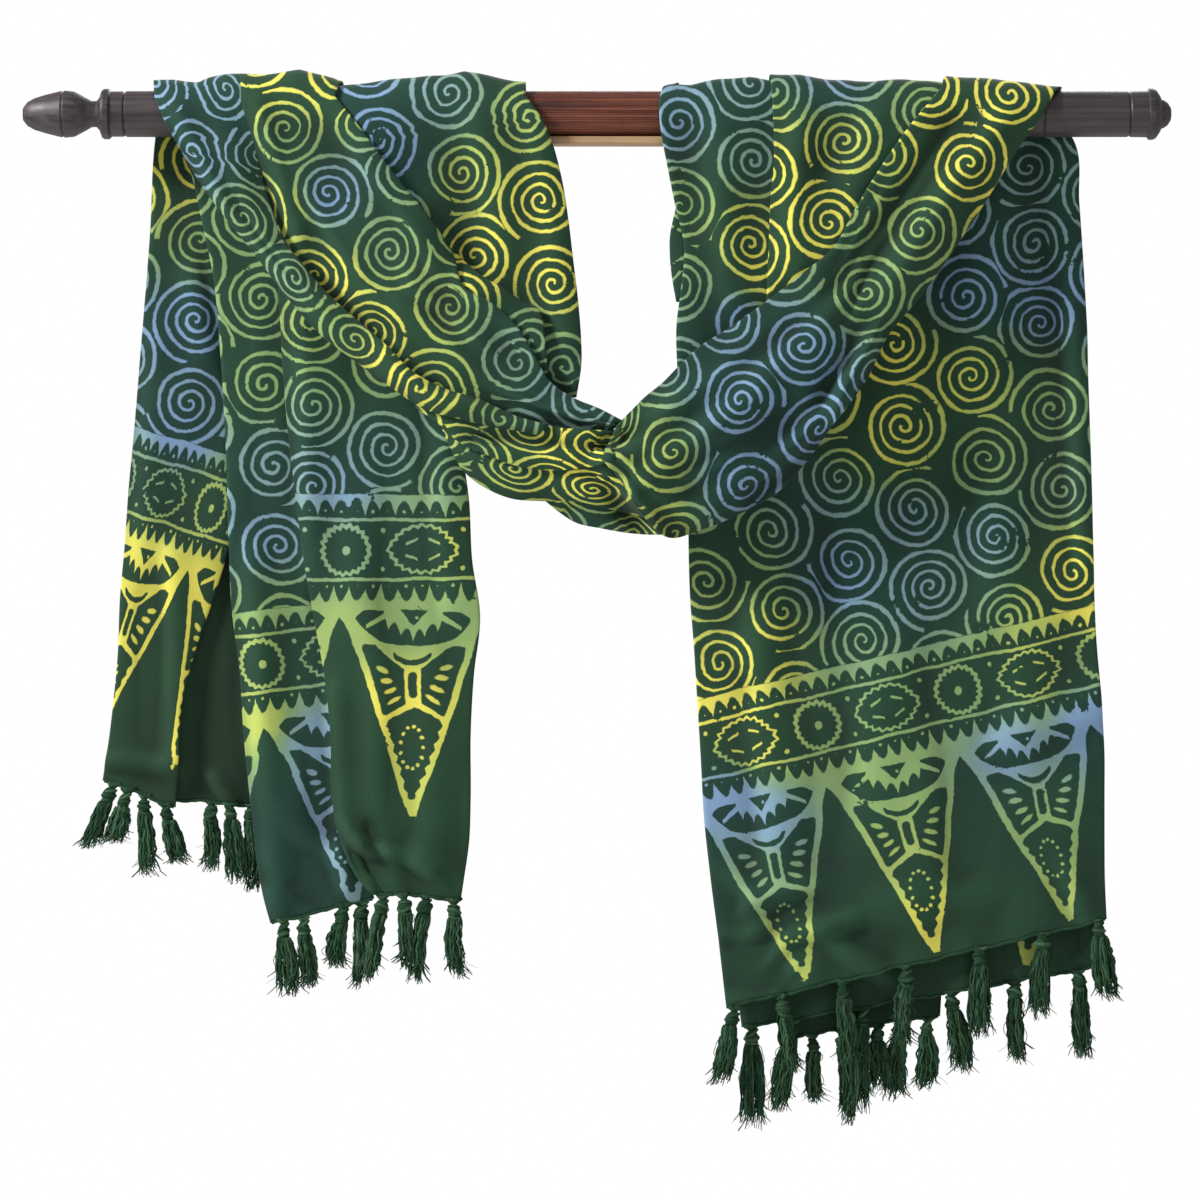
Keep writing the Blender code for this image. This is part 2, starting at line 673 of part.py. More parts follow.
def grow_strand(
    shape: bmesh.types.BMesh, face: bmesh.types.BMFace, end: Vector, draw: random.Random,
) -> None:
    """Grows one strand from a three-cornered face down to its end, in two lengths."""
    bmesh.ops.inset_individual(shape, faces=[face], thickness=STRAND_INSET * MM, use_even_offset=True)
    start = face.calc_center_median()
    for share, scale in ((0.55, 1.0), (1.0, 0.35)):
        centre = start.lerp(end, share)
        centre.x += draw.uniform(-STRAND_BEND, STRAND_BEND) * MM * (1 - share)
        centre.y += draw.uniform(-STRAND_BEND, STRAND_BEND) * MM * (1 - share)
        middle = face.calc_center_median()
        face = bmesh.ops.extrude_discrete_faces(shape, faces=[face])["faces"][0]
        for vertex in face.verts:
            vertex.co = centre + (vertex.co - middle) * scale


def grow_tassel(
    shape: bmesh.types.BMesh, face: bmesh.types.BMFace, tassel: Tassel, draw: random.Random,
) -> None:
    """Grows a knotted tassel down from one face of the strip."""
    top = face.calc_center_median()
    tip = Vector((tassel.x_end * MM, top.y, tassel.z_end * MM))
    length = top.z - tip.z
    for ring in TASSEL_HEAD:
        share = ring.down * MM / length
        centre = Vector((top.x + (tip.x - top.x) * share, top.y, top.z - ring.down * MM))
        face = extrude_face(shape, face, centre, Vector((ring.half_x * MM, ring.half_y * MM, 0.0)))
    base = face.calc_center_median()
    poked = bmesh.ops.poke(shape, faces=[face])["faces"]
    for strand in sorted(poked, key=lambda one: tuple(one.calc_center_median())):
        spread = strand.calc_center_median() - base
        end = Vector((
            tip.x + spread.x * TASSEL_SPREAD,
            tip.y + spread.y * TASSEL_THROW,
            tip.z + draw.uniform(0.0, STRAND_UNEVEN) * MM,
        ))
        grow_strand(shape, strand, end, draw)


def add_fringe(
    name: str, grid: np.ndarray, tassels: list[Tassel], parts: bpy.types.Collection,
) -> bpy.types.Object:
    """A narrow strip under a hem, parted from the cloth's edge, with its tassels grown from it."""
    draw = random.Random(STRAND_SEED)
    shape = bmesh.new()
    rings = []
    for x in strip_stops(grid, tassels):
        place = hem_point(grid, x)
        place.z -= GAP
        ring = []
        for side, down in ((-1, 0), (1, 0), (1, 1), (-1, 1)):
            forward = side * HEM_STRIP_DEPTH / 2
            corner = place + Vector((0.0, forward, -down * HEM_STRIP_HEIGHT))
            ring.append(shape.verts.new(corner * MM))
        rings.append(ring)
    shape.faces.new(rings[0])
    shape.faces.new(list(reversed(rings[-1])))
    roots = []
    for before, after in zip(rings, rings[1:]):
        for corner in range(4):
            following = (corner + 1) % 4
            side = shape.faces.new((before[corner], after[corner], after[following], before[following]))
            if corner == 2:
                roots.append(side)
    bmesh.ops.recalc_face_normals(shape, faces=shape.faces)
    for number, tassel in enumerate(sorted(tassels, key=lambda one: one.x)):
        grow_tassel(shape, roots[1 + 2 * number], tassel, draw)
    bmesh.ops.triangulate(shape, faces=shape.faces)
    mesh = bpy.data.meshes.new(name)
    shape.to_mesh(mesh)
    shape.free()
    return add_object(name, mesh, FRINGE_GREEN, parts)


def add_turned_end(
    name: str, turning: list[Turning], tip_x: float, inner_x: float, parts: bpy.types.Collection,
) -> bpy.types.Object:
    """A turned end of the rod: its outline, screwed round the rod's axis."""
    length = abs(inner_x - tip_x)
    outline = [(0.0, 0.0), (ROD_RADIUS, 0.0)]
    outline += [(point.radius, length - point.inward) for point in reversed(turning)]
    mesh = bpy.data.meshes.new(name)
    points = [(radius * MM, 0.0, -height * MM) for radius, height in outline]
    mesh.from_pydata(points, [(i, i + 1) for i in range(len(points) - 1)], [])
    end = add_object(name, mesh, DARK_WOOD, parts)
    screw = end.modifiers.new("turning", "SCREW")
    screw.axis = "Z"
    screw.steps = TURNED_STEPS
    screw.render_steps = TURNED_STEPS
    screw.use_merge_vertices = True
    screw.merge_threshold = 0.00001
    end.location = (inner_x * MM, 0.0, 0.0)
    end.rotation_euler = (0.0, math.pi / 2 if tip_x < inner_x else -math.pi / 2, 0.0)
    return end


def bar_outline() -> list[tuple[float, float]]:
    """The middle bar's section as (y, z): round, with a bead and grooves down its front and back."""
    outline = []
    for index in range(BAR_CORNERS):
        angle = 2 * math.pi * index / BAR_CORNERS
        on_face = abs(math.sin(angle)) * ROD_RADIUS < REEDED_HALF_HEIGHT
        radius = ROD_RADIUS - GROOVE_DEPTH if on_face and index % 2 else ROD_RADIUS
        outline.append((math.cos(angle) * radius, math.sin(angle) * radius))
    return outline


def extruded(name: str, outline: list[tuple[float, float]], start_x: float, end_x: float) -> bpy.types.Mesh:
    """A bar of one section along the rod."""
    shape = bmesh.new()
    loop = [shape.verts.new((start_x * MM, y * MM, z * MM)) for y, z in outline]
    face = shape.faces.new(loop)
    grown = bmesh.ops.extrude_face_region(shape, geom=[face])["geom"]
    moved = [item for item in grown if isinstance(item, bmesh.types.BMVert)]
    bmesh.ops.translate(shape, verts=moved, vec=((end_x - start_x) * MM, 0.0, 0.0))
    bmesh.ops.recalc_face_normals(shape, faces=shape.faces)
    mesh = bpy.data.meshes.new(name)
    shape.to_mesh(mesh)
    shape.free()
    return mesh


def build_rod(parts: bpy.types.Collection) -> None:
    """The rod: a reeded bar, the strip under it, and the two turned ends."""
    half = BAR_HALF_LENGTH
    add_object("rod_bar", extruded("rod_bar", bar_outline(), -half, half), RED_WOOD, parts)
    top = -ROD_RADIUS - GAP
    side = LEDGE_DEPTH / 2
    ledge = [(-side, top), (side, top), (side, top - LEDGE_HEIGHT), (-side, top - LEDGE_HEIGHT)]
    add_object("rod_ledge", extruded("rod_ledge", ledge, -half, half), TAN_WOOD, parts)
    add_turned_end("rod_end_left", FINIAL_TURNING, LEFT_TIP_X, -half - GAP, parts)
    add_turned_end("rod_end_right", CAP_TURNING, RIGHT_TIP_X, half + GAP, parts)


def build_swag(parts: bpy.types.Collection) -> None:
    """The stretches of cloth in front of the rod."""
    wrapped = (
        ("swag_left_outer_band", OUTER_BAND, 5, 20, OUTER_BAND_FOLDS, 2.0, OUTER_BAND_CRESTS, 22.9),
        ("swag_left_main_band", MAIN_BAND, 9, 18, MAIN_BAND_FOLDS, 1.5, MAIN_BAND_CRESTS, 22.7),
        ("swag_left_inner_drop", INNER_DROP, 8, 11, INNER_DROP_FOLDS, 1.0, INNER_DROP_CRESTS, 18.5),
        ("swag_right_band", RIGHT_BAND, 9, 20, RIGHT_BAND_FOLDS, 2.0, RIGHT_BAND_CRESTS, 25.2),
        (
            "swag_right_inner_drop", RIGHT_INNER_DROP, 6, 9, RIGHT_INNER_DROP_FOLDS, 1.0,
            RIGHT_INNER_DROP_CRESTS, 21.2,
        ),
        (
            "swag_right_outer_drop", RIGHT_OUTER_DROP, 7, 9, RIGHT_OUTER_DROP_FOLDS, 1.0,
            RIGHT_OUTER_DROP_CRESTS, 23.0,
        ),
    )
    for name, rows, columns, count, folds, turn, crests, back_depth in wrapped:
        grid = wrapped_grid(rows, columns, count, folds, turn, crests, back_depth)
        add_sheet(name, grid, parts)
    hanging = (
        ("swag_left_inner_fold", INNER_FOLD, 3, 9, 0.5),
        ("swag_under_fold", UNDER_FOLD, 4, 12, 1.0),
        ("swag_low_roll", LOW_ROLL, 4, 12, 1.0),
        ("swag_lowest_roll", LOWEST_ROLL, 4, 10, 1.0),
        ("swag_right_edge_fold", RIGHT_EDGE_FOLD, 2, 6, 0.0),
        ("swag_back_left", BACK_LEFT, 4, 10, 0.0),
        ("swag_back_right", BACK_RIGHT, 4, 9, 0.0),
    )
    for name, rows, columns, count, turn in hanging:
        add_sheet(name, hanging_grid(rows, columns, count, FLAT, turn), parts)


def build_tails(parts: bpy.types.Collection) -> None:
    """The tails behind the rod, each with the fringe of its hem."""
    tails = (
        ("left_outer", TAIL_LEFT_OUTER, 5, 12, FLAT, TASSELS_LEFT_OUTER),
        ("left_outer_back", TAIL_LEFT_OUTER_BACK, 4, 9, FLAT, TASSELS_LEFT_OUTER_BACK),
        ("left_middle", TAIL_LEFT_MIDDLE, 6, 13, FLAT, TASSELS_LEFT_MIDDLE),
        ("left_inner", TAIL_LEFT_INNER, 8, 15, TAIL_LEFT_INNER_FOLDS, TASSELS_LEFT_INNER),
        ("right_front", TAIL_RIGHT_FRONT, 12, 16, TAIL_RIGHT_FOLDS, TASSELS_RIGHT_FRONT),
        ("right_middle", TAIL_RIGHT_MIDDLE, 9, 11, FLAT, TASSELS_RIGHT_MIDDLE),
        ("right_back", TAIL_RIGHT_BACK, 6, 10, FLAT, TASSELS_RIGHT_BACK),
    )
    for name, rows, columns, count, folds, tassels in tails:
        grid = hanging_grid(rows, columns, count, folds, 0.0)
        add_sheet("tail_" + name, grid, parts)
        add_fringe("fringe_" + name, grid, tassels, parts)


def main() -> None:
    """Builds the rod, the swag and the tails."""
    parts = clear_scene()
    build_rod(parts)
    build_swag(parts)
    build_tails(parts)


main()
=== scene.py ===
"""Looks of the sarong on its rod: dyed cloth in folds, knotted fringe and turned wood.

The cloth is folded lengthwise and hung over the rod, its two tails behind and its middle in
front as a swag. Each stretch that shows is a thin shell on the form of its solid, with the
smaller folds and creases added. Lengths in the tables are in millimetres: x runs along the rod,
z is height over the rod's axis, and depth is how far a stretch stands in front of the axis.
"""

import logging
import math
import random
from dataclasses import astuple, dataclass, field
from enum import Enum

import bpy
import numpy as np
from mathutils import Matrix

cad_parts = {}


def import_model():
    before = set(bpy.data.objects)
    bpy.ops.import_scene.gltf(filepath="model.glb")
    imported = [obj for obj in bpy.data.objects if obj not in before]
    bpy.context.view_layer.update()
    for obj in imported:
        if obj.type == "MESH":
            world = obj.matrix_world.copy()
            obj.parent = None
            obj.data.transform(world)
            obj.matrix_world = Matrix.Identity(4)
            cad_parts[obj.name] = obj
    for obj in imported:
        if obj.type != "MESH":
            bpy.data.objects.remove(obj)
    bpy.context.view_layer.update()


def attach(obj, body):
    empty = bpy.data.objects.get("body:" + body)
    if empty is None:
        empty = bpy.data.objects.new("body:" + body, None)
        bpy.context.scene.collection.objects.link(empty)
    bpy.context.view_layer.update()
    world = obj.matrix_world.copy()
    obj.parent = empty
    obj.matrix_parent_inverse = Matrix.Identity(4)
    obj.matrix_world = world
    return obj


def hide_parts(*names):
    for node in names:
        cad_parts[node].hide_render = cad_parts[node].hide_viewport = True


log = logging.getLogger("sarong")

MM = 0.001
Socket = bpy.types.NodeSocket
Tree = bpy.types.NodeTree
Material = bpy.types.Material
Piece = bpy.types.Object
NodeTerm = Socket | float | tuple


@dataclass(frozen=True)
class Section:
    """One row of a stretch: its first edge, its second edge, their depths, and its bulge."""

    x_a: float
    z_a: float
    x_b: float
    z_b: float
    depth_a: float
    depth_b: float
    bulge: float


@dataclass(frozen=True)
class Crest:
    """Height of the cloth's top edge over the rod's axis at one place along the rod."""

    x: float
    height: float


@dataclass(frozen=True)
class Fold:
    """A soft ridge or trough: where it lies across the stretch at its start and end."""

    across_start: float
    across_end: float
    width: float
    height: float
    along_start: float
    along_end: float


@dataclass(frozen=True)
class Crease:
    """A line dragged or pressed into the cloth from one place to another."""

    x: float
    z: float
    x_end: float
    z_end: float
    width: float
    height: float


@dataclass(frozen=True)
class Tassel:
    """Where a tassel hangs from its hem, and where its lowest threads end."""

    x: float
    x_end: float
    z_end: float


@dataclass(frozen=True)
class Turning:
    """One point of a turned end's outline: distance in from the tip, and radius there."""

    inward: float
    radius: float


@dataclass(frozen=True)
class Patch:
    """A place where the dye turns the waxed lines yellow (0), green (0.5) or blue (1)."""

    x: float
    z: float
    tint: float


@dataclass(frozen=True)
class Placing:
    """How the print lies on a stretch: the point of it that meets one place on the cloth.

    A flat placing turns the print by an angle, which may change towards the rod. A placing with
    a lane follows a curve: u is the distance from the lane and v runs along it. A squeeze under 1
    narrows the print across, as cloth gathered or turned away looks.
    """

    x: float
    z: float
    u: float = 0.0
    v: float = 0.0
    angle: float = 0.0
    angle_top: float | None = None
    scale: float = 1.0
    squeeze: float = 1.0
    lane: tuple[tuple[float, float], ...] = ()


class Side(Enum):
    """Which side of the rod a stretch hangs on, as the sign of its depth."""

    FRONT = 1.0
    BACK = -1.0


def table(kind: type, *rows: tuple[float, ...]) -> list:
    """Rows of one kind, each made from its plain numbers."""
    return [kind(*row) for row in rows]


# Grid, edges and movement of the shells, in millimetres where they are lengths.

CELL = 2.7
WRAP_ROWS = 26
BACK_HANG = 10.0
TOP_SHARE = 0.98
FOLD_FADE = 0.3
CREST_RIPPLE = 0.5
CLOTH_WALL = 0.8
TURN_RADIUS = 0.9
TUCK = 8.0
CREASE_LIFT = 3.0
HEM_RIPPLE = 0.55
HEM_SHARE = 0.1
SWAY_BELOW = 14.0
SWAY_EASE = 20.0
SWAY_DEPTH = 8.0
TURN_RISE = 350.0
TINT_REACH = 60.0
TINT_FALL = 1.6
# Painted shading of the dye: hollows of the folds drawn darker and ridges paler, as shade and light would
# fall.
SHADE_SMOOTHING = 40
SHADE_PER_MM = 0.19
DEEPEST_SHADE = -0.42
PALEST_SHADE = 0.12
LANE_STEPS = 400
LANE_SMOOTHING = 300
HOOK_FROM = 0.72
HOOK_LENGTH = 0.28
REED_WAVES = 62.0
BEAD_HEIGHT = 0.72
BEAD_HALF = 0.05
WORLD_STRENGTH = 0.45
STUDIO_LIGHTS = (
    ("key", (-1.9, -1.0, 1.1), (50.0, 0.0, -62.0), (0.5, 0.5), 84.0),
    ("fill", (1.5, -2.4, -0.2), (84.0, 0.0, 32.0), (1.2, 1.2), 7.0),
    ("back", (0.4, 1.8, 0.9), (-62.0, 0.0, 12.0), (1.2, 1.0), 22.0),
)

# Swag, left half, from the rod to the middle.

OUTER_BAND = table(
    Section,
    (-225, 6, -278, 10, 20, 20, 1), (-219, -13, -271, -7, 20, 20, 2), (-214, -35, -261, -25, 20, 20, 3),
    (-207, -60, -248, -47, 22, 21, 4), (-199, -81, -230, -71, 26, 24, 5), (-187, -96, -213, -92, 30, 27, 5),
    (-173, -113, -195, -116, 33, 30, 6), (-156, -129, -173, -140, 36, 33, 6),
    (-135, -147, -151, -157, 38, 36, 6), (-117, -165, -129, -173, 39, 38, 6),
    (-96, -176, -107, -187, 40, 39, 6), (-76, -182, -85, -193, 40, 40, 5),
    (-54, -192, -63, -198, 40, 40, 3), (-33, -198, -37, -202, 40, 40, 1),
)
MAIN_BAND = table(
    Section,
    (-167, 9, -224, 6, 21.2, 20, 0), (-154, -7, -218, -13, 20.5, 20, 1), (-140, -26, -213, -35, 21, 19, 3),
    (-125, -46, -206, -57, 22, 18, 5), (-107, -68, -196, -80, 23, 18, 6), (-93, -90, -185, -98, 24, 19, 6),
    (-86, -111, -170, -118, 25, 21, 6), (-69, -121, -154, -135, 26, 23, 5),
    (-55, -133, -135, -153, 27, 25, 5), (-43, -151, -117, -170, 28, 27, 4),
    (-33, -169, -93, -181, 29, 28, 4), (-18, -180, -66, -189, 30, 29, 3), (-2, -187, -35, -197, 31, 30, 2),
    (13, -195, 8, -200, 32, 31, 0),
)
INNER_DROP = table(
    Section,
    (-48, 10, -170, 6, 18.5, 17.3, 0), (-38, -4, -158, -16, 18.5, 17.3, 0),
    (-31, -20, -144, -37, 17, 16, 0), (-25, -43, -127, -59, 16, 14, 1), (-21, -68, -111, -83, 15, 13, 1),
    (-18, -93, -98, -106, 14, 13, 1), (-15, -118, -85, -127, 14, 13, 1), (-13, -144, -64, -146, 14, 14, 1),
    (-13, -160, -47, -164, 14, 15, 1), (-16, -179, -33, -181, 15, 16, 0),
)
INNER_FOLD = table(
    Section,
    (-97, -84, -101, -89, 20.5, 19.5, 0), (-76, -103, -91, -111, 20.5, 19.5, 1),
    (-61, -112, -79, -123, 21.5, 20.5, 1), (-49, -120, -69, -133, 21.5, 20.5, 1),
    (-39, -125, -60, -146, 21.5, 20.5, 1), (-35, -146, -52, -155, 21.7, 21.7, 1),
    (-34, -165, -41, -168, 22.5, 22.5, 0),
)

# Swag, middle.

UNDER_FOLD = table(
    Section,
    (-117, -178, -115, -185, 34, 33.5, 0), (-101, -182, -98, -197, 35, 34, 1),
    (-82, -188, -87, -207, 35.8, 34, 1), (-63, -193, -69, -215, 35.8, 34, 2),
    (-44, -197, -49, -222, 35.8, 35, 2), (-25, -200, -28, -224, 36.4, 35.5, 2),
    (-6, -201, -5, -222, 36.6, 36.5, 1), (9, -202, 14, -218, 36.8, 36.8, 0),
    (25, -203, 28, -215, 36.8, 36.8, 0),
)
LOW_ROLL = table(
    Section,
    (-101, -193, -96, -205, 25.5, 22, 0), (-91, -199, -87, -222, 28.0, 23, 1),
    (-77, -207, -76, -232, 29.9, 24, 2), (-60, -210, -57, -241, 30.8, 25, 3),
    (-41, -213, -37, -243, 30.8, 26, 3), (-22, -215, -18, -243, 30.8, 27, 3),
    (-3, -215, 1, -247, 30.8, 28, 3), (13, -215, 19, -251, 30.8, 29, 2), (28, -218, 34, -255, 30.8, 30, 1),
)
LOWEST_ROLL = table(
    Section,
    (-45, -224, -41, -237, 18, 17, 0), (-35, -224, -28, -248, 28.2, 17, 0),
    (-22, -224, -16, -256, 31, 17, 0), (-5, -224, 1, -260, 30.9, 18, 0), (13, -224, 19, -263, 27, 19, 1),
    (28, -227, 36, -264, 22, 22, 1), (43, -231, 50, -263, 22, 23, 0),
)

# Swag, right half, from the rod to the middle.

RIGHT_BAND = table(
    Section,
    (215, 15, 277, 0, 24, 20, 1), (208, 6, 260, -24, 24, 20, 2), (197, -7, 241, -55, 25, 22, 3),
    (185, -23, 220, -87, 26, 24, 3), (171, -44, 200, -115, 27, 25, 4), (159, -64, 180, -139, 28, 26, 5),
    (146, -87, 165, -169, 30, 27, 6), (126, -104, 146, -194, 32, 28, 7), (104, -121, 129, -218, 34, 28, 8),
    (82, -137, 110, -238, 36, 28, 9), (63, -149, 87, -251, 37, 28, 10), (49, -162, 63, -261, 38, 30, 9),
    (38, -173, 40, -265, 39, 33, 8), (28, -181, 26, -251, 40, 36, 6), (20, -189, 14, -232, 41, 39, 4),
    (10, -199, 1, -217, 42, 41, 1),
)
RIGHT_INNER_DROP = table(
    Section,
    (38, 6, 118, 6, 17.5, 17.3, 0), (39, -10, 118, -10, 17.3, 17.3, 0), (43, -32, 118, -32, 17, 16, 1),
    (48, -57, 117, -57, 17, 15, 1), (54, -86, 115, -86, 17, 15, 1), (52, -111, 114, -110, 17, 15, 1),
    (49, -136, 113, -129, 17, 16, 1), (50, -171, 110, -142, 18, 18, 0),
)
RIGHT_OUTER_DROP = table(
    Section,
    (109, 6, 217, 6, 20.1, 20, 0), (110, -13, 205, -13, 20.0, 20, 1), (110, -32, 192, -32, 20.0, 20, 1),
    (108, -54, 178, -54, 20.0, 20, 1), (107, -79, 164, -79, 20.0, 20.5, 1),
    (106, -101, 148, -101, 20.2, 21, 1), (105, -120, 126, -120, 21, 21, 0),
    (103, -131, 111, -132, 21, 21, 0),
)
RIGHT_EDGE_FOLD = table(
    Section,
    (49, -59, 57, -59, 13, 13, 0), (45, -79, 59, -79, 13, 13, 1), (45, -89, 61, -89, 13, 13, 1),
    (46, -101, 60, -101, 13, 13, 1), (49, -119, 57, -120, 13, 13, 0),
)

# Back ply of the swag, in two halves.

BACK_LEFT = table(
    Section,
    (-35, -24, -220, -24, 8, 8, 0), (-28, -54, -198, -64, 9.5, 9.5, 0), (-22, -92, -176, -98, 10, 10, 0),
    (-19, -123, -148, -133, 10, 10, 0), (-19, -155, -117, -164, 10.5, 10, 0),
    (-20, -179, -88, -196, 10, 10, 0), (-9, -192, -66, -219, 11, 11, 0), (3, -198, -38, -234, 12, 12, 0),
    (15, -202, -6, -249, 12, 12, 0), (30, -202, 25, -254, 12, 12, 0),
)
BACK_RIGHT = table(
    Section,
    (30.5, -202, 25.5, -254, 12, 12, 0), (47, -177, 64, -252, 12, 12, 0), (59, -155, 92, -236, 11, 12, 0),
    (65, -130, 123, -208, 10, 11, 0), (68, -98, 155, -158, 9, 10, 0), (68, -64, 188, -102, 8, 9, 0),
    (68, -24, 238, -32, 8, 8, 0),
)

# Left tail, three panels side by side and the ply behind the outer one.

TAIL_LEFT_OUTER = table(
    Section,
    (-279, 0, -230, 0, -19.1, -19.1, 0), (-281, -16, -229, -16, -19.4, -19.4, 0),
    (-284, -73, -228, -73, -20.5, -21, 1), (-288, -123, -227, -123, -21, -22, 1),
    (-294, -195, -227, -195, -20, -22, 1), (-298, -239, -229, -241, -19, -22, 1),
    (-300, -270, -236, -271, -18, -21, 1), (-303, -306, -247, -307, -18, -20, 1),
    (-304, -338, -258, -339, -17, -19, 1), (-307, -371, -266, -373, -17, -18, 1),
    (-311, -403, -268, -408, -16, -18, 1), (-314, -420, -270, -437, -16, -18, 1),
)
TAIL_LEFT_OUTER_BACK = table(
    Section,
    (-277, 0, -227, 0, -20.9, -20.9, 0), (-277, -16, -227, -16, -21.2, -21.2, 0),
    (-277, -86, -224, -86, -24, -24, 0), (-277, -180, -224, -180, -26, -26, 1),
    (-274, -306, -220, -306, -26, -26, 1), (-277, -369, -216, -369, -25, -26, 1),
    (-284, -432, -213, -437, -24, -25, 1),
)
TAIL_LEFT_MIDDLE = table(
    Section,
    (-258, 0, -189, 0, -17.3, -17.3, 0), (-260, -16, -189, -16, -17.5, -17.5, 0),
    (-253, -57, -188, -57, -17.8, -18.3, 0), (-244, -101, -186, -101, -18, -19.5, 1),
    (-239, -155, -185, -155, -17, -19.5, 1), (-236, -205, -183, -205, -17, -19.5, 1),
    (-234, -267, -175, -267, -16, -19, 1), (-232, -312, -168, -312, -15, -18, 1),
    (-227, -350, -162, -350, -14, -18, 1), (-224, -394, -158, -394, -13, -17, 2),
    (-219, -442, -156, -440, -12, -17, 2), (-214, -483, -150, -474, -11, -16, 2),
    (-207, -510, -144, -495, -11, -16, 2),
)
TAIL_LEFT_INNER = table(
    Section,
    (-205, 0, -72, 0, -15.5, -15.5, 0), (-205, -16, -76, -16, -15.5, -15.5, 0),
    (-202, -117, -88, -117, -15, -15, 1), (-197, -193, -91, -193, -14, -14, 1),
    (-191, -243, -84, -243, -13, -13, 1), (-186, -281, -82, -281, -12, -12, 2),
    (-180, -316, -77, -316, -11, -12, 2), (-173, -354, -81, -354, -10, -11, 2),
    (-169, -391, -83, -391, -9, -11, 2), (-168, -432, -83, -432, -8, -10, 2),
    (-163, -457, -84, -459, -8, -10, 2), (-154, -478, -87, -481, -8, -10, 2),
    (-144, -491, -89, -495, -8, -10, 1),
)

# Right tail, three plies that lie on each other.

TAIL_RIGHT_FRONT = table(
    Section,
    (57, 0, 289, 0, -15.5, -15.5, 0), (57, -16, 299, -16, -15.5, -15.5, 0),
    (57, -54, 302, -54, -15.5, -15.5, 0), (57, -117, 306, -117, -15, -16, 1),
    (57, -180, 308, -180, -15, -15, 1), (57, -243, 310, -240, -14, -15, 1),
    (58, -299, 311, -281, -13, -14, 2), (61, -341, 313, -331, -12, -14, 2),
    (63, -374, 316, -369, -11, -13, 2), (65, -407, 318, -401, -10, -13, 2),
    (67, -444, 318, -429, -9, -12, 2), (71, -481, 318, -455, -9, -12, 2), (76, -520, 318, -481, -8, -11, 2),
    (81, -563, 319, -508, -8, -11, 2),
)
TAIL_RIGHT_MIDDLE = table(
    Section,
    (60, 0, 285, 0, -17.3, -17.3, 0), (60, -16, 292, -16, -17.4, -17.4, 0),
    (60, -117, 301, -117, -19.5, -19.5, 0), (60, -243, 306, -243, -20, -20, 0),
    (66, -344, 309, -338, -20, -20, 0), (73, -432, 312, -420, -19, -20, 1),
    (82, -508, 312, -483, -18, -19, 1), (91, -577, 312, -539, -18, -18, 1),
)
TAIL_RIGHT_BACK = table(
    Section,
    (69, 0, 252, 0, -19.1, -19.1, 0), (69, -16, 250, -16, -19.4, -19.4, 0),
    (71, -117, 243, -117, -24, -24, 0), (77, -243, 233, -243, -25, -25, 0),
    (85, -344, 227, -341, -26, -26, 0), (96, -432, 220, -429, -26, -26, 0),
    (107, -514, 218, -508, -26, -26, 1), (120, -584, 215, -570, -26, -26, 1),
)

# Top edge of the stretches that pass over the rod.

OUTER_BAND_CRESTS = table(Crest, (-280, 21), (-268, 21.7), (-253, 19), (-247, 22), (-236, 25), (-227, 25))
MAIN_BAND_CRESTS = table(
    Crest,
    (-226, 25), (-215, 24.5), (-200, 26), (-189, 27.4), (-174, 24), (-163, 20.5),
)
INNER_DROP_CRESTS = table(
    Crest,
    (-178, 17.3), (-163, 17.4), (-152, 19), (-126, 22), (-98, 24), (-86, 27), (-70, 24), (-54, 20),
    (-48, 19.5),
)
RIGHT_INNER_DROP_CRESTS = table(
    Crest,
    (42, 17.8), (46, 19), (58, 18), (75, 21.5), (95, 23), (108, 21), (118, 19),
)
RIGHT_OUTER_DROP_CRESTS = table(
    Crest,
    (108, 25), (126, 24), (145, 21), (170, 20.5), (192, 21.4), (210, 20), (226, 18.5),
)
RIGHT_BAND_CRESTS = table(Crest, (219, 23.5), (226, 23.3), (250, 21.5), (272, 18.5), (290, 17.2))

# Folds of each stretch.

OUTER_BAND_FOLDS = table(Fold, (0.55, 0.5, 0.12, -2.0, 0.1, 0.5))
MAIN_BAND_FOLDS = table(
    Fold,
    (0.88, 0.8, 0.12, -6.0, 0.2, 0.75), (0.35, 0.3, 0.12, 2.0, 0.15, 0.8), (0.6, 0.5, 0.1, 2.5, 0.45, 0.95),
    (0.15, 0.12, 0.06, 2.2, 0.05, 0.6), (0.72, 0.62, 0.06, 3.2, 0.1, 0.7),
    (0.5, 0.36, 0.07, -2.6, 0.3, 0.9), (0.2, 0.5, 0.07, 2.6, 0.5, 1.0), (0.97, 0.92, 0.1, -6.0, 0.12, 0.95),
)
INNER_DROP_FOLDS = table(Fold, (0.3, 0.2, 0.1, 1.6, 0.1, 0.9), (0.6, 0.45, 0.1, -1.6, 0.1, 0.8))
RIGHT_BAND_FOLDS = table(
    Fold,
    (0.3, 0.35, 0.1, 2.5, 0.3, 0.95), (0.75, 0.7, 0.1, -3.0, 0.35, 0.9), (0.55, 0.55, 0.08, -2.5, 0.7, 1.0),
    (0.18, 0.16, 0.06, 2.4, 0.0, 0.6), (0.86, 0.9, 0.06, 2.4, 0.2, 0.8), (0.45, 0.5, 0.06, -2.2, 0.1, 0.6),
    (0.62, 0.7, 0.06, 2.8, 0.45, 1.0),
)
RIGHT_INNER_DROP_FOLDS = table(Fold, (0.3, 0.45, 0.12, 1.2, 0.1, 0.9))
RIGHT_OUTER_DROP_FOLDS = table(Fold, (0.5, 0.4, 0.12, 1.0, 0.1, 0.9))
TAIL_LEFT_INNER_FOLDS = table(Fold, (0.3, 0.35, 0.1, 1.4, 0.3, 1.0), (0.75, 0.7, 0.12, 1.2, 0.2, 1.0))
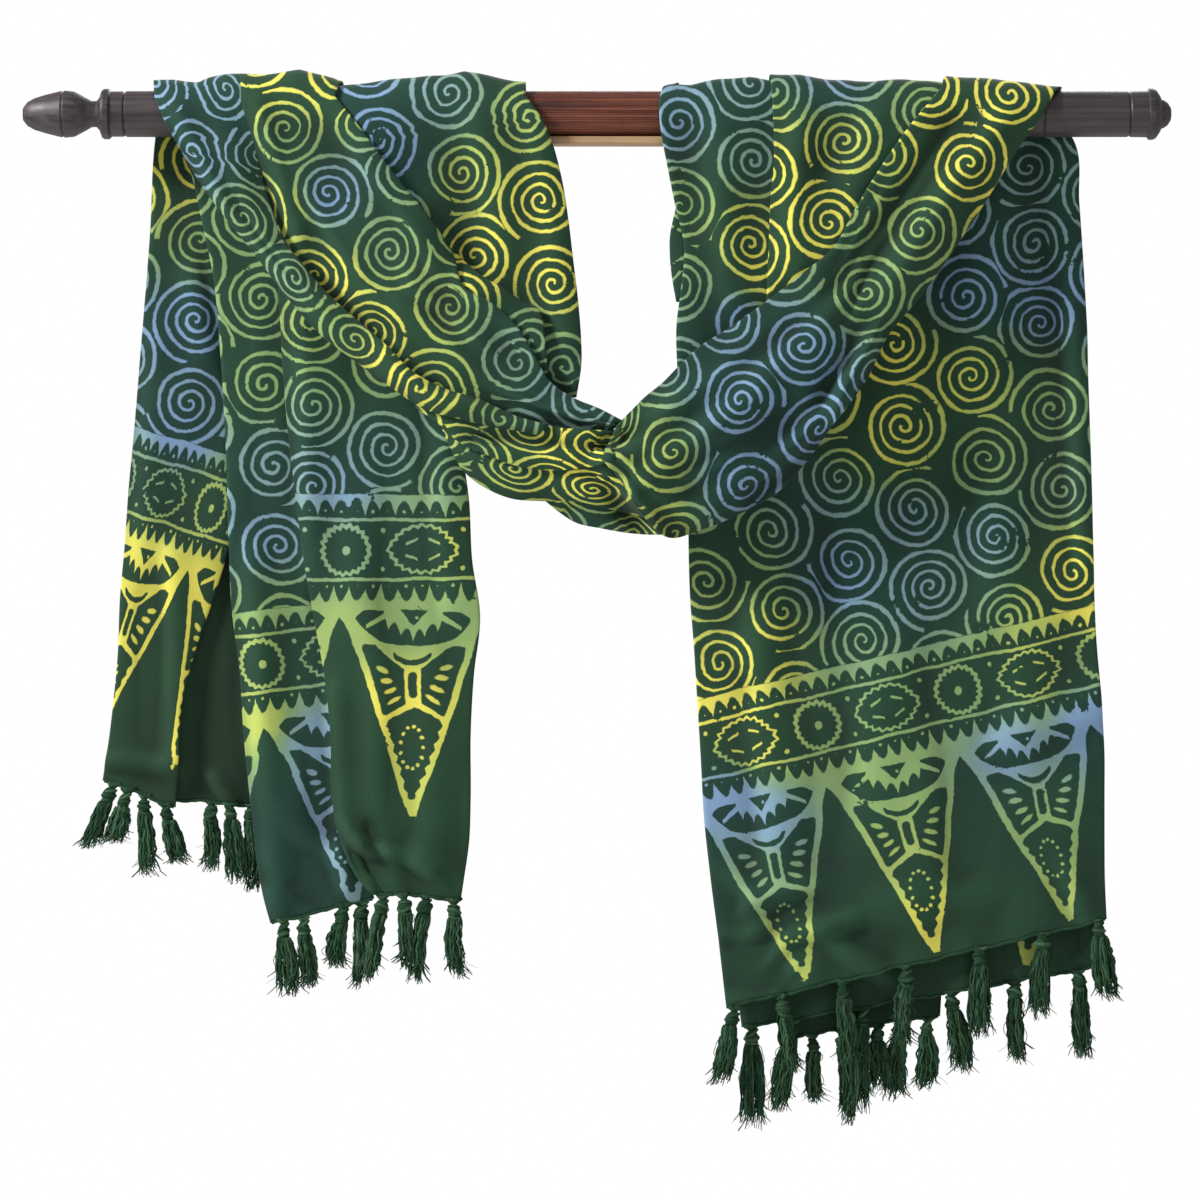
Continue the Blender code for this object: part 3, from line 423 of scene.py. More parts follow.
TAIL_RIGHT_FOLDS = table(
    Fold,
    (0.25, 0.22, 0.08, 1.2, 0.3, 1.0), (0.5, 0.52, 0.08, 1.0, 0.4, 1.0), (0.82, 0.8, 0.06, 1.2, 0.2, 1.0),
)

# Tassels of each hem.

TASSELS_LEFT_OUTER = table(
    Tassel,
    (-308, -324, -464), (-299, -309, -461), (-289, -287, -482), (-276, -266, -474),
)
TASSELS_LEFT_OUTER_BACK = table(Tassel, (-247, -249, -479), (-235, -229, -487), (-222, -221, -492))
TASSELS_LEFT_MIDDLE = table(
    Tassel,
    (-200, -198, -557), (-188, -183, -552), (-163, -165, -540), (-151, -153, -553),
)
TASSELS_LEFT_INNER = table(
    Tassel,
    (-137, -144, -547), (-124, -120, -540), (-110, -116, -549), (-93, -87, -546),
)
TASSELS_RIGHT_FRONT = table(
    Tassel,
    (85, 74, -613), (114, 123, -605), (153, 158, -600), (193, 194, -588), (240, 241, -584),
    (280, 278, -572), (314, 322, -560),
)
TASSELS_RIGHT_MIDDLE = table(
    Tassel,
    (96, 96, -642), (123, 112, -631), (166, 166, -632), (222, 229, -607), (262, 266, -601),
    (303, 307, -597),
)
TASSELS_RIGHT_BACK = table(
    Tassel,
    (135, 138, -626), (154, 156, -640), (176, 176, -618), (190, 188, -625), (208, 205, -618),
)

# Turned ends of the rod.

FINIAL_TURNING = table(
    Turning,
    (0, 0), (0.8, 4), (3.5, 7.5), (8, 10), (16, 12.4), (25, 14.6), (26, 14.0), (27, 14.8), (33, 14.2),
    (40, 10.5), (44, 8.2), (47, 8.2), (49, 10.5), (50.5, 14.8), (52, 15.8), (55, 15.8), (56.5, 14.2),
    (64, 14.2), (65, 13.4), (66, 14.4),
)
CAP_TURNING = table(
    Turning,
    (0, 0), (0.6, 4), (2.5, 7), (5, 8.8), (6.5, 9.2), (7.5, 11.5), (10, 15.2), (12, 16.2), (14.5, 16.2),
    (15.5, 14.6), (26, 14.4), (27, 13.6), (28, 14.4), (80, 14.4), (81, 13.7), (82, 14.4),
)

# Where the print and its colours lie on each stretch.

FAR_FROM_BORDER = Placing(0, 0, 0, 900)
RIGHT_BAND_LANE = (
    (277, 43), (255, 9), (228, -34), (200, -76), (164, -115), (126, -149), (85, -186), (38, -219),
    (-6, -243),
)
MAIN_BAND_LANE = (
    (-217, 40), (-198, -16), (-169, -54), (-134, -86), (-99, -118), (-60, -152), (-16, -179), (32, -199),
)
OUTER_BAND_LANE = (
    (-290, 40), (-270, 7), (-250, -32), (-224, -67), (-195, -101), (-161, -139), (-110, -173), (-63, -193),
    (-19, -204),
)
LOW_LANE = ((-107, -199), (-76, -217), (-38, -229), (-3, -237), (32, -242))
RIGHT_BAND_TINTS = table(
    Patch,
    (255, 9, 0), (228, -34, 0), (200, -76, 0.45), (161, -115, 0.5), (129, -152, 0.95), (85, -186, 0.95),
    (118, -200, 0.95), (38, -221, 0.35), (82, -231, 0.95), (32, -253, 0.3),
)
RIGHT_INNER_TINTS = table(
    Patch,
    (47, -7, 0.9), (96, -32, 0.75), (99, 18, 0.8), (93, -74, 0.15), (85, -130, 1), (57, -57, 0.5),
    (63, -111, 0.6), (101, -98, 0),
)
RIGHT_OUTER_TINTS = table(
    Patch,
    (152, -20, 0.25), (142, -76, 0), (205, 9, 0.5), (117, -45, 0), (148, 18, 0.9), (126, -98, 0),
)
INNER_DROP_TINTS = table(
    Patch,
    (-154, 3, 1), (-126, -32, 1), (-98, 7, 0.8), (-85, -40, 0.3), (-44, -4, 0.4), (-38, -57, 0),
    (-69, -93, 0), (-26, -103, 0), (-16, -161, 0.6), (-50, -136, 0.6),
)
MAIN_BAND_TINTS = table(
    Patch,
    (-211, 16, 0.1), (-183, 21, 0.1), (-198, -16, 0.5), (-169, -54, 1), (-134, -86, 0.55),
    (-103, -117, 0.45), (-60, -152, 0.7), (-25, -180, 0.8), (-198, -64, 0.2), (-170, -108, 0),
    (-132, -139, 0.1), (-98, -171, 0.3),
)
OUTER_BAND_TINTS = table(
    Patch,
    (-270, 7, 0.9), (-250, -32, 0.9), (-224, -67, 0.55), (-195, -101, 0.6), (-164, -139, 0.45),
    (-126, -161, 0.05), (-101, -175, 0.15), (-69, -196, 0.5), (-38, -205, 0.6),
)
LOW_TINTS = table(
    Patch,
    (-82, -212, 0.5), (-50, -221, 0.3), (-26, -215, 0), (-3, -237, 0), (-6, -256, 0.7), (25, -243, 0.3),
    (-94, -199, 0.2),
)
RIGHT_TAIL_TINTS = table(
    Patch,
    (277, -73, 0.8), (287, -120, 1), (284, -171, 0.5), (294, -237, 0.6), (302, -287, 0), (236, -111, 1),
    (233, -168, 0.2), (241, -218, 0.5), (246, -265, 0.85), (186, -205, 0.1), (195, -256, 0.85),
    (198, -303, 0.85), (139, -249, 0.8), (151, -294, 1), (104, -335, 0.1), (91, -290, 0.5), (176, -152, 0),
    (76, -369, 0), (101, -394, 0.1), (139, -387, 0.5), (183, -375, 0.5), (227, -363, 0.5), (277, -350, 0.3),
    (312, -309, 0), (309, -344, 0.5), (82, -432, 1), (107, -445, 0.9), (120, -527, 0.35), (183, -420, 0.5),
    (189, -470, 0.4), (107, -483, 0.6), (208, -514, 0.08), (158, -338, 0.6), (258, -401, 0.9),
    (309, -382, 1), (277, -451, 0.5), (290, -508, 0.38), (270, -533, 0.32), (132, -558, 0.25),
)
OUTER_TAIL_TINTS = table(
    Patch,
    (-255, -32, 0), (-249, -79, 0.5), (-258, -130, 1), (-265, -205, 1), (-284, -232, 0.6),
    (-249, -243, 0.4), (-296, -281, 0.1), (-287, -312, 0), (-258, -306, 0), (-274, -394, 0),
)
MIDDLE_TAIL_TINTS = table(
    Patch,
    (-205, -117, 0.5), (-211, -168, 0.5), (-208, -218, 0.8), (-211, -268, 0.9), (-208, -312, 0.5),
    (-214, -340, 0.4), (-189, -338, 0.6), (-214, -382, 0.3), (-183, -394, 0.9), (-170, -432, 0.9),
)
INNER_TAIL_TINTS = table(
    Patch,
    (-170, -117, 0.4), (-139, -161, 0.5), (-135, -209, 0.8), (-164, -237, 0.9), (-101, -240, 0.6),
    (-85, -268, 0.2), (-163, -273, 0.6), (-120, -268, 0.6), (-161, -331, 0.45), (-169, -372, 0.05),
    (-120, -325, 0.5), (-91, -312, 0.5), (-123, -369, 0), (-120, -426, 0.25),
)

# Creases pressed or dragged into the cloth.

RIGHT_TAIL_CREASES = table(
    Crease,
    (77, -520, 94, -518, 6, 1.2), (98, -530, 110, -517, 5, -1.9), (72, -511, 85, -498, 4, -0.9),
    (126, -517, 158, -508, 6, 1.8), (101, -495, 126, -489, 7, 1.6), (145, -520, 176, -536, 9, 1.8),
    (167, -527, 180, -534, 6, -1.4), (113, -552, 123, -539, 6, 1.6), (76, -542, 126, -549, 10, -1.2),
    (189, -498, 227, -495, 14, 1.2), (66, -331, 101, -341, 12, 1.2), (299, -136, 306, -281, 8, 1.6),
    (290, -23, 301, -136, 10, 1.8), (243, -73, 252, -281, 16, 1.0), (164, -281, 176, -495, 18, 1.2),
    (101, -306, 110, -470, 14, 1.4), (220, -369, 230, -495, 16, -1.0), (63, -81, 82, -81, 3, 0.6),
    (258, -394, 315, -369, 14, 0.9), (299, -483, 312, -514, 8, 1.4), (85, -483, 101, -511, 10, 1.4),
)
LEFT_TAIL_CREASES = table(
    Crease,
    (-147, -461, -132, -467, 5, 2.0), (-132, -467, -108, -478, 5, 2.0), (-144, -454, -135, -489, 5, -1.8),
    (-158, -451, -142, -470, 4, 1.6), (-311, -408, -277, -411, 6, 1.4), (-243, -423, -236, -432, 6, 1.6),
    (-244, -101, -234, -149, 8, -1.8), (-189, -117, -183, -281, 9, 1.2), (-101, -117, -94, -306, 12, 1.2),
    (-220, -281, -205, -495, 10, 1.4), (-129, -306, -126, -470, 14, -1.0), (-167, -369, -161, -483, 8, 1.4),
    (-271, -281, -267, -407, 9, 1.4), (-284, -149, -290, -281, 10, 1.2), (-208, -483, -170, -498, 8, -1.2),
    (-113, -470, -91, -489, 8, 1.2), (-195, -445, -170, -470, 8, 1.2),
)
SWAG_CREASES = table(
    Crease,
    (252, -4, 176, -117, 10, 1.8), (214, -10, 145, -111, 9, -1.4), (167, -146, 151, -180, 7, 1.8),
    (151, -180, 145, -205, 6, 1.8), (145, -205, 98, -237, 7, -1.6), (0, -219, 22, -243, 5, 1.8),
    (22, -243, 39, -265, 5, 1.6), (0, -212, 25, -200, 6, -2.0), (25, -200, 76, -168, 8, 1.6),
    (63, -180, 126, -136, 9, -1.2), (35, -224, 101, -180, 10, 1.4), (25, -237, 63, -256, 8, 1.4),
    (-217, 15, -189, -79, 7, 1.6), (-189, -79, -113, -168, 7, 1.4), (-158, -4, -82, -111, 12, 1.4),
    (-82, -111, 0, -180, 9, 1.4), (-76, -10, -63, -86, 12, 1.2), (-38, -16, -19, -136, 10, 1.2),
    (-265, 3, -214, -111, 7, 1.6), (-214, -111, -139, -180, 6, 1.4), (-76, -205, 0, -212, 5, -1.4),
    (-25, -186, 25, -199, 5, 1.2), (72, 3, 85, -117, 12, 1.2), (126, 3, 120, -86, 10, 1.2),
    (176, 3, 158, -42, 10, 1.0),
)


@dataclass
class Stretch:
    """One stretch of cloth that shows: its form, how its print lies, and what it hangs on."""

    node: str
    rows: list[Section]
    spirals: Placing
    tints: list[Patch]
    border: Placing = FAR_FROM_BORDER
    folds: list[Fold] = field(default_factory=list)
    crests: list[Crest] = field(default_factory=list)
    creases: list[Crease] = field(default_factory=list)
    back_depth: float = 0.0
    rests_on: str = "rod_bar"
    sway: float = 1.0
    deepest: float = 6.0
    # Painted shade: a factor under 1 draws the dye of a ply that lies in shadow behind others darker.
    painted_shading: float = 1.0
    hangs: Side = Side.FRONT

    def track(self) -> np.ndarray:
        """Sections of the stretch at even steps along its middle line, as rows of a table.

        Returns:
            An array with a row for each step and the seven values of a Section in its columns.
        """
        values = np.array([astuple(row) for row in self.rows], dtype=float)
        middle = (values[:, 0:2] + values[:, 2:4]) / 2
        places = np.concatenate([[0.0], np.cumsum(np.linalg.norm(np.diff(middle, axis=0), axis=1))])
        slopes = np.gradient(values, places, axis=0)
        wanted = np.linspace(0.0, places[-1], max(int(places[-1] / CELL) + 1, 12))
        span = np.clip(np.searchsorted(places, wanted, side="right") - 1, 0, len(places) - 2)
        width = (places[span + 1] - places[span])[:, None]
        t = (wanted - places[span])[:, None] / width
        start = (2 * t**3 - 3 * t**2 + 1) * values[span] + (t**3 - 2 * t**2 + t) * width * slopes[span]
        end = (3 * t**2 - 2 * t**3) * values[span + 1] + (t**3 - t**2) * width * slopes[span + 1]
        return start + end

    def fold_relief(self, across: np.ndarray, along: np.ndarray) -> np.ndarray:
        """How far the large folds lift the cloth at each place of the grid.

        Args:
            across: Share of the way across, one for each column.
            along: Share of the way along, one for each row.

        Returns:
            The lift in millimetres, one for each row and column.
        """
        relief = np.zeros((len(along), len(across)))
        for fold in self.folds:
            centre = fold.across_start + (fold.across_end - fold.across_start) * along
            share = (along - fold.along_start) / (fold.along_end - fold.along_start)
            fade = np.sin(math.pi * np.clip(share, 0, 1))
            if fold.along_end >= 1.0:
                fade = np.clip((along - fold.along_start) / FOLD_FADE, 0, 1)
            offset = (across[None, :] - centre[:, None]) / fold.width
            relief += fold.height * fade[:, None] * np.exp(-(offset**2))
        return relief

    def hanging(self) -> np.ndarray:
        """Points of the part that hangs free.

        Returns:
            An array of rows and columns of (x, depth, z).
        """
        track = self.track()
        widest = np.hypot(track[:, 2] - track[:, 0], track[:, 3] - track[:, 1]).max()
        across = np.linspace(0.0, 1.0, max(int(widest / CELL) + 1, 6))
        along = np.linspace(0.0, 1.0, len(track))
        x_a, z_a, x_b, z_b, depth_a, depth_b, bulge = (track[:, i : i + 1] for i in range(7))
        grid = np.zeros((len(track), len(across), 3))
        grid[:, :, 0] = x_a + (x_b - x_a) * across
        grid[:, :, 2] = z_a + (z_b - z_a) * across
        grid[:, :, 1] = depth_a + (depth_b - depth_a) * across
        grid[:, :, 1] += np.maximum(bulge, 0.0) * 4 * across * (1 - across)
        grid[:, :, 1] += self.fold_relief(across, along)
        if not self.crests:
            near_hem = np.clip((along - (1 - HEM_SHARE)) / HEM_SHARE, 0.0, 1.0)[:, None] ** 2
            x = grid[:, :, 0]
            grid[:, :, 2] += HEM_RIPPLE * near_hem * (np.sin(x / 7.0) + 0.7 * np.sin(x / 2.9 + 1.0))
            grid[:, :, 1] += 1.2 * HEM_RIPPLE * near_hem * np.sin(x / 5.3 + 2.0)
        return grid

    def over_rod(self, hanging: np.ndarray) -> np.ndarray:
        """Adds the part that comes up behind the rod and passes over its top.

        Args:
            hanging: Points of the part that hangs in front.

        Returns:
            The points of both parts, from behind the rod to the free end.
        """
        first_x = hanging[0, :, 0]
        ends = [self.crests[0].x, self.crests[-1].x]
        if first_x[0] > first_x[-1]:
            ends.reverse()
        top_x = np.linspace(ends[0], ends[1], hanging.shape[1])
        height = np.interp(top_x, [c.x for c in self.crests], [c.height for c in self.crests])
        height += CREST_RIPPLE * np.sin(top_x / 6.3) * np.sin(top_x / 17.0 + 1.0)
        lifted = np.clip(hanging[:, :, 2] / height, 0.0, TOP_SHARE)
        hanging[:, :, 1] *= np.sqrt(1 - lifted**2)
        rise = np.clip(hanging[0, :, 2] / height, 0.0, TOP_SHARE)
        front_depth = hanging[0, :, 1] / np.sqrt(1 - rise**2)
        last_angle = math.pi - np.arcsin(rise)
        wrap = np.zeros((WRAP_ROWS + 1, hanging.shape[1], 3))
        wrap[0, :, 0] = top_x
        wrap[0, :, 1] = -self.back_depth
        wrap[0, :, 2] = -BACK_HANG
        for step in range(WRAP_ROWS):
            angle = last_angle * step / WRAP_ROWS
            forward = np.clip((angle - math.pi / 2) / (last_angle - math.pi / 2), 0.0, 1.0)
            reach = np.where(angle < math.pi / 2, self.back_depth, front_depth)
            wrap[step + 1, :, 0] = top_x + (first_x - top_x) * forward
            wrap[step + 1, :, 1] = -reach * np.cos(angle)
            wrap[step + 1, :, 2] = height * np.sin(angle)
        return np.concatenate([wrap, hanging])

    def add_creases(self, grid: np.ndarray) -> None:
        """Lifts or sinks the cloth along its creases, and gives it the sway of hanging cloth.

        Args:
            grid: Points of the stretch, changed in place.
        """
        x, z = grid[:, :, 0], grid[:, :, 2]
        outward = grid[:, :, 1] * self.hangs.value / SWAY_DEPTH
        below = np.clip((SWAY_BELOW - z) / SWAY_EASE, 0.0, 1.0) * np.clip(outward, 0.0, 1.0)
        lift = self.sway * (np.sin(x / 13.0 + z / 55.0) + 0.6 * np.sin(x / 7.1 - z / 31.0 + 2.0))
        for crease in self.creases:
            run = np.array([crease.x_end - crease.x, crease.z_end - crease.z])
            length = float(np.hypot(*run))
            along = ((x - crease.x) * run[0] + (z - crease.z) * run[1]) / length
            side = ((x - crease.x) * run[1] - (z - crease.z) * run[0]) / length
            past = np.maximum(np.maximum(-along, along - length), 0.0)
            fade = np.exp(-((past / (crease.width * 1.6)) ** 2))
            ridge = np.exp(-((side / crease.width) ** 2))
            trough = np.exp(-(((side - 1.7 * crease.width) / (1.3 * crease.width)) ** 2))
            lift += CREASE_LIFT * crease.height * fade * (ridge - 0.55 * trough)
        grid[:, :, 1] += np.maximum(lift, -self.deepest) * below

    def with_turned_edges(self, grid: np.ndarray) -> np.ndarray:
        """Adds the narrow folds that turn back behind the stretch at its sides.

        Args:
            grid: Points of the stretch.

        Returns:
            The points of the stretch and both folds.
        """
        folded = []
        for column, inner in ((0, 1), (-1, -2)):
            outward = grid[:, column] - grid[:, inner]
            outward[:, 1] = 0.0
            outward /= np.linalg.norm(outward, axis=1)[:, None]
            added = []
            for turn in (40, 80, 120, 160, 180):
                angle = math.radians(turn)
                place = grid[:, column] + outward * TURN_RADIUS * math.sin(angle)
                place[:, 1] -= TURN_RADIUS * (1 - math.cos(angle))
                added.append(place)
            for tuck in (2.5, TUCK):
                place = grid[:, column] - outward * tuck
                place[:, 1] -= 2 * TURN_RADIUS
                added.append(place)
            folded.append(added)
        return np.stack([*reversed(folded[0]), *np.moveaxis(grid, 1, 0), *folded[1]], axis=1)

    def print_places(self, grid: np.ndarray, placing: Placing) -> np.ndarray:
        """Places of the print on the stretch.

        Args:
            grid: Points of the stretch.
            placing: How the print lies on it.

        Returns:
            For each row and column, (u, v) on the print in millimetres.
        """
        x, z = grid[:, :, 0], grid[:, :, 2]
        if not placing.lane:
            top = placing.angle if placing.angle_top is None else placing.angle_top
            share = np.clip((z - placing.z) / TURN_RISE, 0.0, 1.0)
            angle = np.radians(placing.angle + (top - placing.angle) * share)
            across = (x - placing.x) * np.cos(angle) + (z - placing.z) * np.sin(angle)
            along = -(x - placing.x) * np.sin(angle) + (z - placing.z) * np.cos(angle)
            across += self.hidden_width(grid, across)
            across = across / placing.squeeze / placing.scale + placing.u
            return np.stack([across, along / placing.scale + placing.v], axis=2)
        lane = np.array(placing.lane)
        run = np.concatenate([[0.0], np.cumsum(np.linalg.norm(np.diff(lane, axis=0), axis=1))])
        even = np.linspace(0.0, run[-1], LANE_STEPS)
        path = np.stack([np.interp(even, run, lane[:, 0]), np.interp(even, run, lane[:, 1])], axis=1)
        for _ in range(LANE_SMOOTHING):
            path[1:-1] = (path[:-2] + 2 * path[1:-1] + path[2:]) / 4
        run = np.concatenate([[0.0], np.cumsum(np.linalg.norm(np.diff(path, axis=0), axis=1))])
        heading = np.gradient(path, axis=0)
        heading /= np.linalg.norm(heading, axis=1)[:, None]
        places = np.stack([x.ravel(), z.ravel()], axis=1)
        nearest = np.argmin(((places[:, None] - path[None]) ** 2).sum(axis=2), axis=1)
        offset = places - path[nearest]
        ahead = (offset * heading[nearest]).sum(axis=1)
        across = offset[:, 1] * heading[nearest, 0] - offset[:, 0] * heading[nearest, 1]
        along = -(run[nearest] + ahead)
        anchor = np.argmin(np.hypot(path[:, 0] - placing.x, path[:, 1] - placing.z))
        across = across.reshape(x.shape) / placing.squeeze
        across += self.hidden_width(grid, across)
        along = along.reshape(x.shape)
        return np.stack([across + placing.u, along + run[anchor] + placing.v], axis=2)

    def hidden_width(self, grid: np.ndarray, across: np.ndarray) -> np.ndarray:
        """Cloth taken up by the folds on the way across, which squeezes the print seen from in front.

        Args:
            grid: Points of the stretch.
            across: Distance across the print as seen from the front.

        Returns:
            What to add to the distance at each point.
        """
        steps = np.diff(grid, axis=1)
        extra = np.zeros(grid.shape[:2])
        hidden = np.linalg.norm(steps, axis=2) - np.hypot(steps[:, :, 0], steps[:, :, 2])
        extra[:, 1:] = np.cumsum(hidden, axis=1)
        middle = np.argmin(np.abs(across), axis=1)
        extra -= extra[np.arange(len(extra)), middle][:, None]
        return extra * np.sign(across[:, -1] - across[:, 0])[:, None]

    def tint_places(self, grid: np.ndarray) -> np.ndarray:
        """Tint of the waxed lines at each point, blended between the patches of dye.

        Args:
            grid: Points of the stretch.

        Returns:
            A tint for each row and column, from 0 for yellow to 1 for blue.
        """
        total = np.full(grid.shape[:2], 1e-9)
        blend = total * 0.5
        for patch in self.tints:
            distance = np.hypot(grid[:, :, 0] - patch.x, grid[:, :, 2] - patch.z)
            weight = 1.0 / (distance**2 + TINT_REACH) ** TINT_FALL
            total += weight
            blend += weight * patch.tint
        return blend / total

    def shade(self, grid: np.ndarray) -> np.ndarray:
        """Painted shading at each point: painted shade down in the folds, painted light on the ridges, times
        the ply's painted shade.

        Args:
            grid: Points of the stretch.

        Returns:
            A factor for each row and column.
        """
        depth = grid[:, :, 1]
        smooth = np.pad(depth, 1, mode="edge")
        for _ in range(SHADE_SMOOTHING):
            around = smooth[:-2, 1:-1] + smooth[2:, 1:-1] + smooth[1:-1, :-2] + smooth[1:-1, 2:]
            smooth[1:-1, 1:-1] = around / 4
        # Painted shade in the hollows and painted light on the ridges, from how far each point lies off the
        # smoothed depth.
        relief = np.clip((depth - smooth[1:-1, 1:-1]) * SHADE_PER_MM, DEEPEST_SHADE, PALEST_SHADE)
        return self.painted_shading * (1.0 + relief)

    def build(self, dye: Material) -> Piece:
        """Args:
            dye: Material of the dyed cloth.

        Returns:
            The finished shell.
        """
        grid = self.hanging()
        if self.crests:
            grid = self.over_rod(grid)
        self.add_creases(grid)
        grid = self.with_turned_edges(grid)
        count, columns = grid.shape[:2]
        corner = (np.arange(count - 1)[:, None] * columns + np.arange(columns - 1)).ravel()
        faces = np.stack([corner, corner + 1, corner + columns + 1, corner + columns], axis=1)
        shell = add_piece(self.node + "_cloth", grid.reshape(-1, 3), faces.tolist(), dye)
        for name, placing in (("spirals", self.spirals), ("border", self.border)):
            places = self.print_places(grid, placing).reshape(-1, 2) * MM
            layer = shell.data.uv_layers.new(name=name)
            layer.data.foreach_set("uv", places[faces.ravel()].ravel().astype(np.float32))
        add_values(shell.data, "tint", self.tint_places(grid))
        # Painted shading for the material: shade painted in the folds and on plies behind, light painted on
        # the ridges.
        add_values(shell.data, "painted_shading", self.shade(grid))
        thicken(shell, CLOTH_WALL)
        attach(shell, "root")
        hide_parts(self.node)
        return shell


def only(piece: Piece) -> None:
    """Selects one piece and makes it the active one.

    Args:
        piece: The piece.
    """
    bpy.ops.object.select_all(action="DESELECT")
    piece.select_set(True)
    bpy.context.view_layer.objects.active = piece


def add_piece(name: str, points: np.ndarray, faces: list, material: Material) -> Piece:
    """Adds a mesh with its material to the scene, and selects it alone.

    Args:
        name: Name of the piece and its mesh.
        points: Its points as (x, depth, z) in millimetres.
        faces: Corners of each face.
        material: Its material.

    Returns:
        The new piece.
    """
    mesh = bpy.data.meshes.new(name)
    mesh.from_pydata((points * (MM, -MM, MM)).tolist(), [], faces)
    mesh.materials.append(material)
    piece = bpy.data.objects.new(mesh.name, mesh)
    bpy.context.scene.collection.objects.link(piece)
    only(piece)
    return piece


def add_values(mesh: bpy.types.Mesh, name: str, values: np.ndarray) -> None:
    """Gives each point of a mesh a number, which its material reads by name."""
    layer = mesh.attributes.new(name, "FLOAT", "POINT")
    layer.data.foreach_set("value", values.ravel().astype(np.float32))


def finish_edit() -> None:
    """Turns all faces of the piece in edit mode outwards, and leaves that mode."""
    bpy.ops.mesh.select_all(action="SELECT")
    bpy.ops.mesh.normals_make_consistent(inside=False)
    bpy.ops.object.mode_set(mode="OBJECT")


def thicken(shell: Piece, wall: float) -> None:
    """Gives an open shell a wall of even thickness, and shades it smooth.

    Args:
        shell: The open shell.
        wall: Thickness of the wall in millimetres.
    """
    only(shell)
    bpy.ops.object.shade_smooth()
    solid = shell.modifiers.new("wall", "SOLIDIFY")
    solid.thickness = wall * MM
    solid.offset = 0.0
    bpy.ops.object.modifier_apply(modifier=solid.name)


def linear(code: str) -> tuple[float, float, float, float]:
    """Turns an sRGB hex colour into linear values.

    Args:
        code: Six hex digits.

    Returns:
        Red, green, blue and an alpha of 1.
    """
    parts = [int(code[i : i + 2], 16) / 255 for i in (0, 2, 4)]
    return (*(p / 12.92 if p <= 0.04045 else ((p + 0.055) / 1.055) ** 2.4 for p in parts), 1.0)


def add_node(
    tree: Tree, kind: str, settings: dict[str, object], links: dict[int | str, NodeTerm],
    stops: tuple[tuple[float, str], ...] = (),
) -> bpy.types.Node:
    """Adds a node with its settings and links.

    Args:
        tree: The material's node tree.
        kind: The node's type.
        settings: Values set on the node itself.
        links: For each input, the socket that feeds it or its value.
        stops: Place and hex colour of each stop, where it turns a value to a colour.

    Returns:
        The new node.
    """
    node = tree.nodes.new(kind)
    for name, value in settings.items():
        setattr(node, name, value)
    for place, source in links.items():
        if isinstance(source, Socket):
            tree.links.new(source, node.inputs[place])
        else:
            node.inputs[place].default_value = source
    for number, (place, code) in enumerate(stops):
        elements = node.color_ramp.elements
        element = elements[number] if number < len(elements) else elements.new(place)
        element.position = place
        element.color = linear(code)
    return node


def start_material(name: str) -> tuple[Material, Tree, bpy.types.Node]:
    """Starts a material.

    Args:
        name: Name of the material.

    Returns:
        The material, its node tree and its principled shader.
    """
    made = bpy.data.materials.new(name)
    made.use_nodes = True
    return made, made.node_tree, made.node_tree.nodes["Principled BSDF"]


def work_out_term(tree: Tree, term: str | NodeTerm, known: dict[str, Socket]) -> Socket | float:
    """Works out what one input of a step takes.

    Args:
        tree: The material's node tree.
        term: A result's name, a number, or an operation and what it takes. HYPOT takes two
            lengths at right angles, and the rest are those of a Math node.
        known: Sockets by name.

    Returns:
        The socket or the number.
    """
    if isinstance(term, str):
        return known[term]
    if not isinstance(term, tuple):
        return term
    operation = term[0]
    values = [work_out_term(tree, part, known) for part in term[1:]]
    if operation == "HYPOT":
        across, up = values
        squares = ("MULTIPLY_ADD", up, up, ("MULTIPLY", across, across))
        operation, values = "SQRT", [work_out_term(tree, squares, known)]
    return add_node(tree, "ShaderNodeMath", {"operation": operation}, dict(enumerate(values))).outputs[0]


def work_out(tree: Tree, steps: tuple[tuple, ...], known: dict[str, Socket]) -> None:
    """Works out a pattern step by step, each from numbers and the results of steps before it.

    Args:
        tree: The material's node tree.
        steps: For each step, its result's name, its operation and what it takes.
        known: Sockets by name, to which the results are added.
    """
    for result, *step in steps:
        known[result] = work_out_term(tree, tuple(step), known)


# Spirals: nearest centre of a staggered lattice, then a hand-drawn arm round it.

